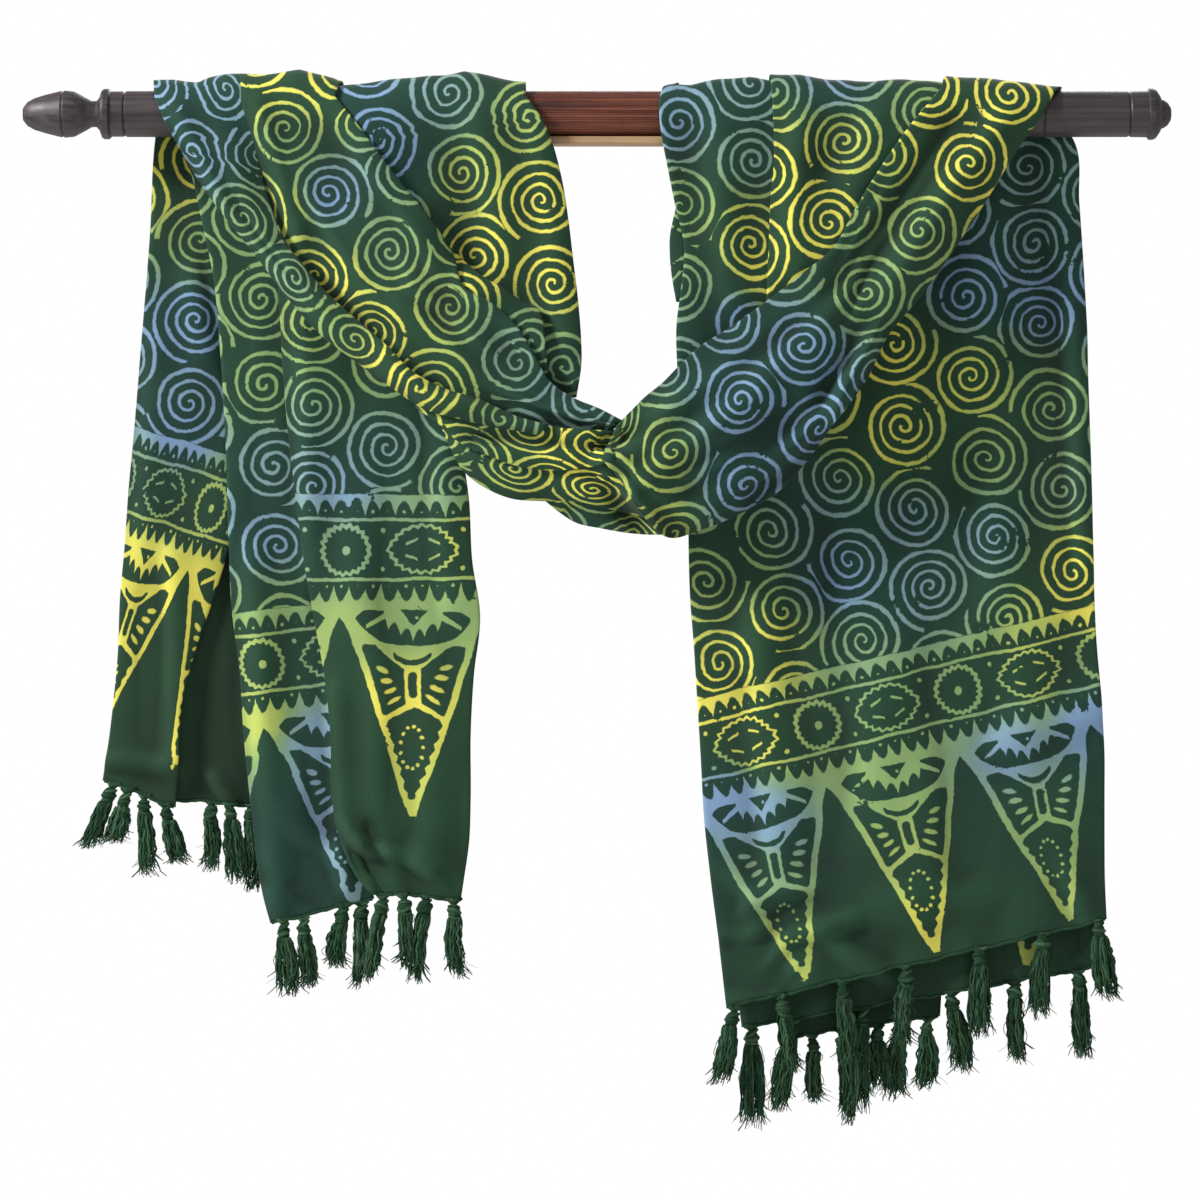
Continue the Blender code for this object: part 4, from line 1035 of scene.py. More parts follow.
COLUMN_PITCH = 47.0
ROW_PITCH = 52.0
SPIRAL_PITCH = 6.1
SPIRAL_REACH = 25.3
CELL_STEPS = (
    ("even_column", "ROUND", ("DIVIDE", "u", 2 * COLUMN_PITCH)),
    ("even_a", "MULTIPLY_ADD", "even_column", -2 * COLUMN_PITCH, "u"),
    ("even_row", "ROUND", ("DIVIDE", "v", ROW_PITCH)),
    ("even_b", "MULTIPLY_ADD", "even_row", -ROW_PITCH, "v"),
    ("odd_u", "SUBTRACT", "u", COLUMN_PITCH),
    ("odd_column", "ROUND", ("DIVIDE", "odd_u", 2 * COLUMN_PITCH)),
    ("odd_a", "MULTIPLY_ADD", "odd_column", -2 * COLUMN_PITCH, "odd_u"),
    ("odd_v", "SUBTRACT", "v", ROW_PITCH / 2),
    ("odd_row", "ROUND", ("DIVIDE", "odd_v", ROW_PITCH)),
    ("odd_b", "MULTIPLY_ADD", "odd_row", -ROW_PITCH, "odd_v"),
    ("even_reach", "MULTIPLY_ADD", "even_b", "even_b", ("MULTIPLY", "even_a", "even_a")),
    ("odd_reach", "MULTIPLY_ADD", "odd_b", "odd_b", ("MULTIPLY", "odd_a", "odd_a")),
    ("odd", "LESS_THAN", "odd_reach", "even_reach"),
    ("a", "MULTIPLY_ADD", "odd", ("SUBTRACT", "odd_a", "even_a"), "even_a"),
    ("b", "MULTIPLY_ADD", "odd", ("SUBTRACT", "odd_b", "even_b"), "even_b"),
    ("column_mixed", "MULTIPLY_ADD", "odd", ("SUBTRACT", "odd_column", "even_column"), "even_column"),
    ("cell_u", "MULTIPLY_ADD", "odd", 0.5, "column_mixed"),
    ("cell_v", "MULTIPLY_ADD", "odd", ("SUBTRACT", "odd_row", "even_row"), "even_row"),
)
SPIRAL_STEPS = (
    ("hand", "MULTIPLY_ADD", ("GREATER_THAN", "chance_a", 0.4), 2.0, -1.0),
    ("a_handed", "MULTIPLY", ("SUBTRACT", ("MULTIPLY_ADD", "chance_b", 3.0, "a"), 1.5), "hand"),
    ("b_centred", "SUBTRACT", ("MULTIPLY_ADD", "chance_c", 3.0, "b"), 1.5),
    ("turn", "MULTIPLY_ADD", ("ARCTAN2", "b_centred", "a_handed"), 1 / (2 * math.pi), "chance_b"),
    ("reach", "HYPOT", "a_handed", "b_centred"),
    ("pitch", "MULTIPLY_ADD", "chance_c", 0.9, SPIRAL_PITCH),
    ("reach_eased", "MULTIPLY_ADD", ("MAXIMUM", ("SUBTRACT", "reach", 19.0), 0.0), -0.22, "reach"),
    ("phase", "ADD", ("DIVIDE", "reach_eased", "pitch"), "turn"),
    ("ring", "ROUND", "phase"),
    ("off_reach", "MULTIPLY", ("ABSOLUTE", ("SUBTRACT", "phase", "ring")), "pitch"),
    ("line", "SUBTRACT", ("MULTIPLY_ADD", "ragged", 1.2, 0.36), "off_reach"),
    ("arm", "MULTIPLY", ("SUBTRACT", "ring", "turn"), "pitch"),
    ("arm_start", "MINIMUM", "line", ("MULTIPLY", ("SUBTRACT", "arm", 0.5), 4.0)),
    ("spirals", "MINIMUM", "arm_start", ("MULTIPLY", ("SUBTRACT", SPIRAL_REACH, "arm"), 14.0)),
)

# Border: p runs along the hem and h is height over the triangles' tips. A value is how far a
# point lies inside a light shape, in millimetres, and negative outside it.

TRIANGLE_PITCH = 87.0
TOOTH_PITCH = 9.5
MEDALLION_PITCH = 47.0
MEDALLION_HEIGHT = 158.3
GEAR_TEETH = 21
FANG_PITCH = 7.0
SPIKE_PITCH = 7.2
LEAF_BEADS = 13
BORDER_HEIGHT = 190.5
FRAME_STEPS = (
    ("tooth_share", "DIVIDE", "p", TOOTH_PITCH),
    ("tooth_side", "SUBTRACT", ("FRACT", "tooth_share"), 0.5),
    ("tooth_squared", "MULTIPLY", "tooth_side", "tooth_side"),
    ("tooth_wave", "SINE", ("MULTIPLY", ("ROUND", "tooth_share"), 2.39)),
    ("tooth_top", "MULTIPLY_ADD", "tooth_squared", ("MULTIPLY_ADD", "tooth_wave", 10.0, 35.0), 127.5),
    ("bar", "MINIMUM", ("MULTIPLY", ("SUBTRACT", "tooth_top", "h"), 0.5), ("SUBTRACT", "h", 123.5)),
    ("saw_bottom", "MULTIPLY_ADD", "tooth_squared", ("MULTIPLY_ADD", "tooth_wave", 8.0, -32.0), 187.0),
    ("saw_cut", "MULTIPLY", ("SUBTRACT", "h", "saw_bottom"), 0.5),
    ("saw", "MINIMUM", "saw_cut", ("SUBTRACT", BORDER_HEIGHT, "h")),
    ("low_line", "SUBTRACT", 1.05, ("ABSOLUTE", ("SUBTRACT", "h", 141.0))),
    ("high_line", "SUBTRACT", 0.95, ("ABSOLUTE", ("SUBTRACT", "h", 175.5))),
    ("lines", "MAXIMUM", "low_line", "high_line"),
    ("dot_x", "MULTIPLY", "tooth_side", TOOTH_PITCH),
    ("dot_wave", "SINE", ("MULTIPLY", ("FLOOR", "tooth_share"), 3.7)),
    ("low_dot_root", "HYPOT", "dot_x", ("SUBTRACT", "h", 137.0)),
    ("dot_root", "MINIMUM", "low_dot_root", ("HYPOT", "dot_x", ("SUBTRACT", "h", 180.2))),
    ("dots", "SUBTRACT", ("MULTIPLY_ADD", "dot_wave", 0.5, 0.6), "dot_root"),
    ("frame", "MAXIMUM", ("MAXIMUM", ("MAXIMUM", "bar", "saw"), "lines"), "dots"),
)
MEDALLION_STEPS = (
    ("m_p", "SUBTRACT", "p", 6.0),
    ("medallion_index", "ROUND", ("DIVIDE", "m_p", MEDALLION_PITCH)),
    ("m_x", "MULTIPLY_ADD", "medallion_index", -MEDALLION_PITCH, "m_p"),
    ("m_x_side", "ABSOLUTE", "m_x"),
    ("m_y", "SUBTRACT", "h", MEDALLION_HEIGHT),
    ("m_y_side", "ABSOLUTE", "m_y"),
    ("round_one", "FLOORED_MODULO", "medallion_index", 2.0),
    ("m_x_squashed", "MULTIPLY", "m_x", ("MULTIPLY_ADD", "round_one", 0.2, 0.8)),
    ("m_reach", "HYPOT", "m_x_squashed", "m_y"),
    ("gear_turn", "MULTIPLY", ("ARCTAN2", "m_y", "m_x_squashed"), GEAR_TEETH / (2 * math.pi)),
    ("gear", "ABSOLUTE", ("SUBTRACT", ("FRACT", "gear_turn"), 0.5)),
    ("rim_round", "MULTIPLY_ADD", "gear", ("MULTIPLY_ADD", "ragged", -5.0, -0.8), 14.7),
    ("point_over", "SUBTRACT", ("ABSOLUTE", ("DIVIDE", "m_x_squashed", "m_reach")), 0.94),
    ("point_height", "MULTIPLY_ADD", "round_one", -30.0, 30.0),
    ("rim", "MULTIPLY_ADD", ("MAXIMUM", "point_over", 0.0), "point_height", "rim_round"),
    ("rim_side", "ABSOLUTE", ("SUBTRACT", "m_reach", "rim")),
    ("rim_line", "SUBTRACT", ("MULTIPLY_ADD", "round_one", 0.45, 0.85), "rim_side"),
    ("dash_x", "SUBTRACT", "m_x_side", 6.6),
    ("dash_rise", "MULTIPLY_ADD", "dash_x", 0.42, ("SUBTRACT", "m_y_side", 4.7)),
    ("dash_long", "SUBTRACT", ("MULTIPLY_ADD", "round_one", -9.0, 3.4), ("ABSOLUTE", "dash_x")),
    ("dash", "MINIMUM", ("SUBTRACT", 0.75, ("ABSOLUTE", "dash_rise")), "dash_long"),
    ("hub", "SUBTRACT", ("MULTIPLY_ADD", "round_one", 2.6, -0.2), "m_reach"),
    ("medallion", "MAXIMUM", "rim_line", ("MAXIMUM", "dash", "hub")),
    ("speck_x", "SUBTRACT", "m_x_side", MEDALLION_PITCH / 2),
    ("speck", "SUBTRACT", 1.4, ("HYPOT", "speck_x", ("SUBTRACT", "m_y_side", 11.0))),
    ("medallions", "MAXIMUM", "medallion", "speck"),
    ("upper_border", "MAXIMUM", "frame", "medallions"),
)
TRIANGLE_STEPS = (
    ("x", "MULTIPLY_ADD", ("ROUND", ("DIVIDE", "p", TRIANGLE_PITCH)), -TRIANGLE_PITCH, "p"),
    ("x_side", "ABSOLUTE", "x"),
    ("x_squared", "MULTIPLY", "x", "x"),
    ("flare", "MAXIMUM", ("SUBTRACT", "h", 106.0), 0.0),
    ("half_straight", "MULTIPLY_ADD", "h", 0.335, 1.8),
    ("half_width", "MULTIPLY_ADD", ("MULTIPLY", "flare", "flare"), 0.018, "half_straight"),
    ("inside", "SUBTRACT", "half_width", "x_side"),
    ("inner", "SUBTRACT", "inside", ("MULTIPLY_ADD", "h", 0.012, 3.3)),
    ("body", "MINIMUM", ("MINIMUM", "inside", ("SUBTRACT", 126.0, "h")), "h"),
    ("bowl_low", "MULTIPLY_ADD", ("MULTIPLY", "x_squared", "x_squared"), 0.000011, 102.3),
    ("lobe", "MAXIMUM", ("SUBTRACT", "x_side", 25.0), 0.0),
    ("under_lid", "SUBTRACT", ("MULTIPLY_ADD", ("MULTIPLY", "lobe", "lobe"), -0.06, 122.0), "h"),
    ("bowl_a", "SMOOTH_MIN", ("SUBTRACT", "h", "bowl_low"), "under_lid", 3.0),
    ("fang_side", "SUBTRACT", ("FRACT", ("DIVIDE", "x", FANG_PITCH)), 0.5),
    ("fang_line", "MULTIPLY_ADD", "x_side", 0.45, 110.5),
    ("fang_low", "MULTIPLY_ADD", ("MULTIPLY", "fang_side", "fang_side"), -24.0, "fang_line"),
    ("fangs", "MINIMUM", ("MULTIPLY", ("SUBTRACT", "h", "fang_low"), 0.5), ("SUBTRACT", 17.0, "x_side")),
    ("tusk_side", "ABSOLUTE", ("SUBTRACT", ("MULTIPLY_ADD", "x_side", 0.6, "h"), 128.6)),
    ("tusk_thin", "SUBTRACT", ("MULTIPLY_ADD", "x_side", -0.07, 3.1), "tusk_side"),
    ("tusk_a", "MINIMUM", "tusk_thin", ("SUBTRACT", 28.0, "x_side")),
    ("tusk", "MINIMUM", "tusk_a", ("SUBTRACT", "x_side", 15.0)),
    ("bowl", "MINIMUM", ("MINIMUM", "bowl_a", "inner"), ("MULTIPLY", ("MAXIMUM", "fangs", "tusk"), -1.0)),
    ("eye_side", "SUBTRACT", ("MULTIPLY_ADD", "h", 0.9, -102.2), "x_side"),
    ("out_of_pupil", "SUBTRACT", ("HYPOT", ("SUBTRACT", "x", 1.8), ("SUBTRACT", "h", 118.6)), 0.9),
    ("eye", "MINIMUM", ("MINIMUM", "eye_side", ("SUBTRACT", 122.8, "h")), "out_of_pupil"),
    ("smile_off", "SUBTRACT", "h", ("MULTIPLY_ADD", "x_squared", 0.045, 91.8)),
    ("smile_reach", "HYPOT", "smile_off", ("MAXIMUM", ("SUBTRACT", "x_side", 9.0), 0.0)),
    ("smile", "SUBTRACT", 1.8, "smile_reach"),
    ("under_wing_top", "SUBTRACT", ("MINIMUM", ("MULTIPLY_ADD", "x_side", 0.75, 84.8), 101.5), "h"),
    ("over_wing_low", "SUBTRACT", "h", ("MULTIPLY_ADD", "x_side", -0.6, 69.5)),
    ("wing_a", "SMOOTH_MIN", "under_wing_top", "over_wing_low", 4.0),
    ("wing_c", "SMOOTH_MIN", ("MINIMUM", "wing_a", ("SUBTRACT", "x_side", 4.4)), "inner", 5.0),
    ("slot_share", "MULTIPLY_ADD", "h", 0.1404, ("MULTIPLY_ADD", "x_side", 0.0575, -10.362)),
    ("slot", "MINIMUM", ("MAXIMUM", ("ROUND", "slot_share"), 0.0), 3.0),
    ("slot_x", "SUBTRACT", ("MULTIPLY_ADD", "slot", -2.5, "x_side"), 11.0),
    ("slot_y", "SUBTRACT", ("MULTIPLY_ADD", "slot", -6.1, "h"), 69.5),
    ("slot_rise", "MULTIPLY_ADD", ("MULTIPLY_ADD", "slot", -0.27, 0.58), "slot_x", "slot_y"),
    ("out_of_slot", "SUBTRACT", ("HYPOT", ("MULTIPLY", "slot_x", 0.42), "slot_rise"), 1.6),
    ("wings", "MINIMUM", "wing_c", "out_of_slot"),
    ("dark_c", "MAXIMUM", ("MAXIMUM", ("MAXIMUM", "bowl", "eye"), "smile"), "wings"),
    ("key_past", "SUBTRACT", ("ABSOLUTE", ("SUBTRACT", "h", 78.0)), 5.6),
    ("key", "SUBTRACT", 2.4, ("HYPOT", "x", ("MAXIMUM", "key_past", 0.0))),
    ("spike_side", "SUBTRACT", ("FRACT", ("DIVIDE", "h", SPIKE_PITCH)), 0.5),
    ("leaf_edge", "ADD", ("MULTIPLY_ADD", ("ABSOLUTE", "spike_side"), -3.8, "inner"), 0.6),
    ("under_leaf_top", "SUBTRACT", ("MULTIPLY_ADD", "x_side", -0.5, 65.0), "h"),
    ("leaf_a", "SMOOTH_MIN", "leaf_edge", ("SUBTRACT", "h", 10.5), 4.0),
    ("bead_x", "ADD", "x", 1.0),
    ("bead_y_off", "SUBTRACT", "h", 41.0),
    ("bead_bearing", "ARCTAN2", ("MULTIPLY", "bead_y_off", 0.5), "bead_x"),
    ("bead_turn", "MULTIPLY", "bead_bearing", LEAF_BEADS / (2 * math.pi)),
    ("bead_angle", "MULTIPLY", ("ROUND", "bead_turn"), 2 * math.pi / LEAF_BEADS),
    ("bead_gap_y", "MULTIPLY_ADD", ("SINE", "bead_angle"), -12.4, "bead_y_off"),
    ("bead_gap", "HYPOT", ("MULTIPLY_ADD", ("COSINE", "bead_angle"), -6.2, "bead_x"), "bead_gap_y"),
    ("leaf", "MINIMUM", ("SMOOTH_MIN", "leaf_a", "under_leaf_top", 4.0), ("SUBTRACT", "bead_gap", 1.05)),
    ("dark", "MAXIMUM", ("MAXIMUM", "dark_c", "key"), "leaf"),
    ("triangles", "MINIMUM", "body", ("MULTIPLY", "dark", -1.0)),
    ("border", "MAXIMUM", "upper_border", "triangles"),
)
JOIN_STEPS = (
    ("in_border", "LESS_THAN", "h", BORDER_HEIGHT + 0.3),
    ("light", "MULTIPLY_ADD", "in_border", ("SUBTRACT", "border", "spirals"), "spirals"),
    ("light_flawed", "MULTIPLY_ADD", ("MAXIMUM", ("SUBTRACT", "flaw", 0.64), 0.0), -30.0, "light"),
    ("waxed", "MINIMUM", ("MAXIMUM", ("MULTIPLY_ADD", "light_flawed", 1.6, 0.5), 0.0), 1.0),
)
# Dye that took unevenly, times the painted shading of each point: painted shade in the folds and on plies
# behind, painted light on the ridges.
SHADE_STEPS = (
    ("uneven", "MULTIPLY_ADD", "streaks", 0.28, ("MULTIPLY_ADD", "mottle", 0.5, 0.72)),
    ("shade", "SUBTRACT", "uneven", 0.25),
    ("ground_shade", "MULTIPLY", "shade", "painted_shading"),
    ("wax_shade", "MULTIPLY", ("MULTIPLY_ADD", "shade", 0.35, 0.66), "painted_shading"),
)


@dataclass(frozen=True)
class DyedCotton:
    """Hand-waxed and dyed cloth: a fine plain weave, dull but for a faint sheen, its lines kept pale."""

    yellow: str = "D3CB55"
    lime: str = "A6B257"
    green: str = "7C985F"
    sage: str = "728F7D"
    blue: str = "728EAE"
    ground_warm: str = "1E3D27"
    ground: str = "1A3928"
    ground_cool: str = "16362F"
    roughness: float = 0.82

    def warped(self, tree: Tree, layer: str) -> tuple[Socket, Socket]:
        """Places on the print in millimetres, moved a little as a hand-held wax pen wanders.

        Args:
            tree: The material's node tree.
            layer: Name of the UV map.

        Returns:
            The sockets of u and v.
        """
        uv = add_node(tree, "ShaderNodeUVMap", {"uv_map": layer}, {}).outputs["UV"]
        # The pen wanders over 35 mm and the wax edge is ragged over 4 mm.
        moved = uv
        for scale, reach in ((28.0, 0.0042), (250.0, 0.0011)):
            links = {"Vector": uv, "Scale": scale, "Detail": 1.0, "Roughness": 0.5}
            noise = add_node(tree, "ShaderNodeTexNoise", {"noise_dimensions": "2D"}, links)
            links = {0: noise.outputs["Color"], 1: (0.5, 0.5, 0.5)}
            centred = add_node(tree, "ShaderNodeVectorMath", {"operation": "SUBTRACT"}, links)
            links = {0: centred.outputs[0], 1: (reach, reach, 0.0), 2: moved}
            moved = add_node(tree, "ShaderNodeVectorMath", {"operation": "MULTIPLY_ADD"}, links).outputs[0]
        grown = add_node(tree, "ShaderNodeVectorMath", {"operation": "SCALE"}, {0: moved, "Scale": 1000.0})
        split = add_node(tree, "ShaderNodeSeparateXYZ", {}, {0: grown.outputs[0]})
        return split.outputs[0], split.outputs[1]

    def streaks(self, tree: Tree, uv: Socket) -> Socket:
        """Dye taken unevenly along the threads, drawn as short streaks both ways.

        Args:
            tree: The material's node tree.
            uv: Places on the cloth.

        Returns:
            The sum of the streaks along and across.
        """
        both = []
        for stretch in ((260.0, 2600.0, 1.0), (2600.0, 260.0, 1.0)):
            place = add_node(tree, "ShaderNodeVectorMath", {"operation": "MULTIPLY"}, {0: uv, 1: stretch})
            links = {"Vector": place.outputs[0], "Scale": 1.0, "Detail": 1.0, "Roughness": 0.5}
            streak = add_node(tree, "ShaderNodeTexNoise", {"noise_dimensions": "2D"}, links)
            both.append(streak.outputs["Fac"])
        return add_node(tree, "ShaderNodeMath", {"operation": "ADD"}, dict(enumerate(both))).outputs[0]

    def build(self) -> Material:
        """Makes the material.

        Returns:
            The material of the dyed cloth.
        """
        made, tree, shader = start_material("dyed_cotton")
        uv = add_node(tree, "ShaderNodeUVMap", {"uv_map": "spirals"}, {}).outputs["UV"]
        known = {"streaks": self.streaks(tree, uv)}
        for name, scale, detail, rough in (
            ("ragged", 60.0, 2.0, 0.6), ("flaw", 34.0, 5.0, 0.7), ("mottle", 22.0, 4.0, 0.6),
        ):
            links = {"Vector": uv, "Scale": scale, "Detail": detail, "Roughness": rough}
            noise = add_node(tree, "ShaderNodeTexNoise", {"noise_dimensions": "2D"}, links)
            known[name] = noise.outputs["Fac"]
        # The tint of the dye, and the painted shading of each point.
        for name in ("tint", "painted_shading"):
            known[name] = add_node(tree, "ShaderNodeAttribute", {"attribute_name": name}, {}).outputs["Fac"]
        known["u"], known["v"] = self.warped(tree, "spirals")
        work_out(tree, CELL_STEPS, known)
        cell = add_node(tree, "ShaderNodeCombineXYZ", {}, {0: known["cell_u"], 1: known["cell_v"]})
        links = {"Vector": cell.outputs[0]}
        chance = add_node(tree, "ShaderNodeTexWhiteNoise", {"noise_dimensions": "2D"}, links)
        parts = add_node(tree, "ShaderNodeSeparateColor", {}, {0: chance.outputs["Color"]})
        for number, name in enumerate(("chance_a", "chance_b", "chance_c")):
            known[name] = parts.outputs[number]
        work_out(tree, SPIRAL_STEPS, known)
        known["p"], known["h"] = self.warped(tree, "border")
        for steps in (FRAME_STEPS, MEDALLION_STEPS, TRIANGLE_STEPS, JOIN_STEPS, SHADE_STEPS):
            work_out(tree, steps, known)
        waxes = (
            (0.05, self.yellow), (0.3, self.lime), (0.5, self.green), (0.72, self.sage), (0.95, self.blue),
        )
        grounds = ((0.0, self.ground_warm), (0.5, self.ground), (1.0, self.ground_cool))
        mixed = {0: known["waxed"]}
        for place, stops, name in ((6, grounds, "ground_shade"), (7, waxes, "wax_shade")):
            tints = add_node(tree, "ShaderNodeValToRGB", {}, {"Fac": known["tint"]}, stops)
            links = {0: tints.outputs["Color"], "Scale": known[name]}
            mixed[place] = add_node(tree, "ShaderNodeVectorMath", {"operation": "SCALE"}, links).outputs[0]
        colour = add_node(tree, "ShaderNodeMix", {"data_type": "RGBA"}, mixed).outputs[2]
        links = {"Strength": 0.22, "Distance": 0.0004, "Height": known["streaks"]}
        bump = add_node(tree, "ShaderNodeBump", {}, links)
        tree.links.new(colour, shader.inputs["Base Color"])
        tree.links.new(bump.outputs[0], shader.inputs["Normal"])
        shader.inputs["Roughness"].default_value = self.roughness
        shader.inputs["Sheen Weight"].default_value = 0.06
        shader.inputs["Sheen Roughness"].default_value = 0.5
        shader.inputs["Specular IOR Level"].default_value = 0.25
        return made


@dataclass(frozen=True)
class SpunThread:
    """Loose dyed threads of a knotted fringe: soft twisted yarn, quite dull, its threads of uneven tone."""

    dark: str = "1B2F21"
    middle: str = "2B4632"
    pale: str = "48644C"
    roughness: float = 1.0

    def build(self) -> Material:
        """Makes the material.

        Returns:
            The material of the threads.
        """
        made, tree, shader = start_material("spun_thread")
        place = add_node(tree, "ShaderNodeTexCoord", {}, {}).outputs["Object"]
        strand = add_node(tree, "ShaderNodeAttribute", {"attribute_name": "strand"}, {}).outputs["Fac"]
        links = {"Vector": place, "Scale": 160.0, "Detail": 3.0}
        noise = add_node(tree, "ShaderNodeTexNoise", {}, links).outputs["Fac"]
        known = {"noise": noise, "strand": strand}
        work_out(tree, (("tone", "MULTIPLY_ADD", "strand", 0.5, ("MULTIPLY", "noise", 0.5)),), known)
        stops = ((0.2, self.dark), (0.5, self.middle), (0.85, self.pale))
        colour = add_node(tree, "ShaderNodeValToRGB", {}, {"Fac": known["tone"]}, stops)
        tree.links.new(colour.outputs["Color"], shader.inputs["Base Color"])
        bump = add_node(tree, "ShaderNodeBump", {}, {"Strength": 0.4, "Distance": 0.0005, "Height": noise})
        tree.links.new(bump.outputs[0], shader.inputs["Normal"])
        shader.inputs["Roughness"].default_value = self.roughness
        shader.inputs["Specular IOR Level"].default_value = 0.05
        return made


@dataclass(frozen=True)
class OiledWood:
    """Turned or planed wood under oil: grain along the rod, and a low satin gloss."""

    name: str
    dark: str
    middle: str
    pale: str
    roughness: float = 0.42
    grain_length: float = 9.0
    grain_width: float = 420.0

    def build(self) -> Material:
        """Makes the material.

        Returns:
            The material of the wood.
        """
        made, tree, shader = start_material(self.name)
        place = add_node(tree, "ShaderNodeTexCoord", {}, {}).outputs["Object"]
        # Grain lines 2 to 3 mm apart and about 100 mm long, with pores a tenth as wide.
        stretch = (self.grain_length, self.grain_width, self.grain_width)
        along = add_node(tree, "ShaderNodeVectorMath", {"operation": "MULTIPLY"}, {0: place, 1: stretch})
        known = {}
        for name, links in (
            ("grain", {"Vector": along.outputs[0], "Scale": 1.0, "Detail": 5.0, "Distortion": 0.3}),
            ("pores", {"Vector": along.outputs[0], "Scale": 4.0, "Detail": 2.0}),
            ("smudge", {"Vector": place, "Scale": 26.0, "Detail": 3.0}),
        ):
            known[name] = add_node(tree, "ShaderNodeTexNoise", {}, links).outputs["Fac"]
        work_out(tree, (
            ("pore_part", "MULTIPLY_ADD", "pores", 0.2, ("MULTIPLY", "grain", 0.6)),
            ("tone", "MULTIPLY_ADD", "smudge", 0.25, "pore_part"),
            ("gloss", "MULTIPLY_ADD", "grain", 0.3, self.roughness - 0.15),
        ), known)
        stops = ((0.36, self.dark), (0.52, self.middle), (0.72, self.pale))
        colour = add_node(tree, "ShaderNodeValToRGB", {}, {"Fac": known["tone"]}, stops)
        tree.links.new(colour.outputs["Color"], shader.inputs["Base Color"])
        tree.links.new(known["gloss"], shader.inputs["Roughness"])
        links = {"Strength": 0.25, "Distance": 0.0004, "Height": known["tone"]}
        bump = add_node(tree, "ShaderNodeBump", {}, links)
        tree.links.new(bump.outputs[0], shader.inputs["Normal"])
        return made


@dataclass(frozen=True)
class MattePaper:
    """Seamless paper under the object: pale, quite dull, with a faint fibre."""

    pale: str = "F4F4F2"
    shade: str = "ECECEA"

    def build(self) -> Material:
        """Makes the material.

        Returns:
            The material of the floor.
        """
        made, tree, shader = start_material("seamless_paper")
        place = add_node(tree, "ShaderNodeTexCoord", {}, {}).outputs["Object"]
        links = {"Vector": place, "Scale": 90.0, "Detail": 4.0}
        fibre = add_node(tree, "ShaderNodeTexNoise", {}, links).outputs["Fac"]
        stops = ((0.3, self.shade), (0.7, self.pale))
        colour = add_node(tree, "ShaderNodeValToRGB", {}, {"Fac": fibre}, stops)
        tree.links.new(colour.outputs["Color"], shader.inputs["Base Color"])
        shader.inputs["Roughness"].default_value = 0.95
        return made


@dataclass
class Tube:
    """A tube through points, with a radius at each, closed at both ends."""

    points: np.ndarray
    radii: np.ndarray
    sides: int
    strand: float

    def add_to(self, verts: list, faces: list, strands: list) -> None:
        """Adds the tube's points and faces to the lists of a mesh.

        Args:
            verts: Points of the mesh so far.
            faces: Faces of the mesh so far.
            strands: A number for each point, alike along a tube.
        """
        first = len(verts)
        heading = np.gradient(self.points, axis=0)
        heading /= np.linalg.norm(heading, axis=1)[:, None] + 1e-9
        side = np.cross(heading, (0.0, 1.0, 0.0))
        side /= np.linalg.norm(side, axis=1)[:, None] + 1e-9
        front = np.cross(side, heading)
        for place, radius, across, forward in zip(self.points, self.radii, side, front):
            for corner in range(self.sides):
                angle = 2 * math.pi * corner / self.sides
                verts.append(place + (across * math.cos(angle) + forward * math.sin(angle)) * radius)
                strands.append(self.strand)
        for ring in range(len(self.points) - 1):
            for corner in range(self.sides):
                following = (corner + 1) % self.sides
                low = first + ring * self.sides
                high = low + self.sides
                faces.append((low + corner, low + following, high + following, high + corner))
        last = first + (len(self.points) - 1) * self.sides
        faces.append(tuple(first + corner for corner in reversed(range(self.sides))))
        faces.append(tuple(last + corner for corner in range(self.sides)))


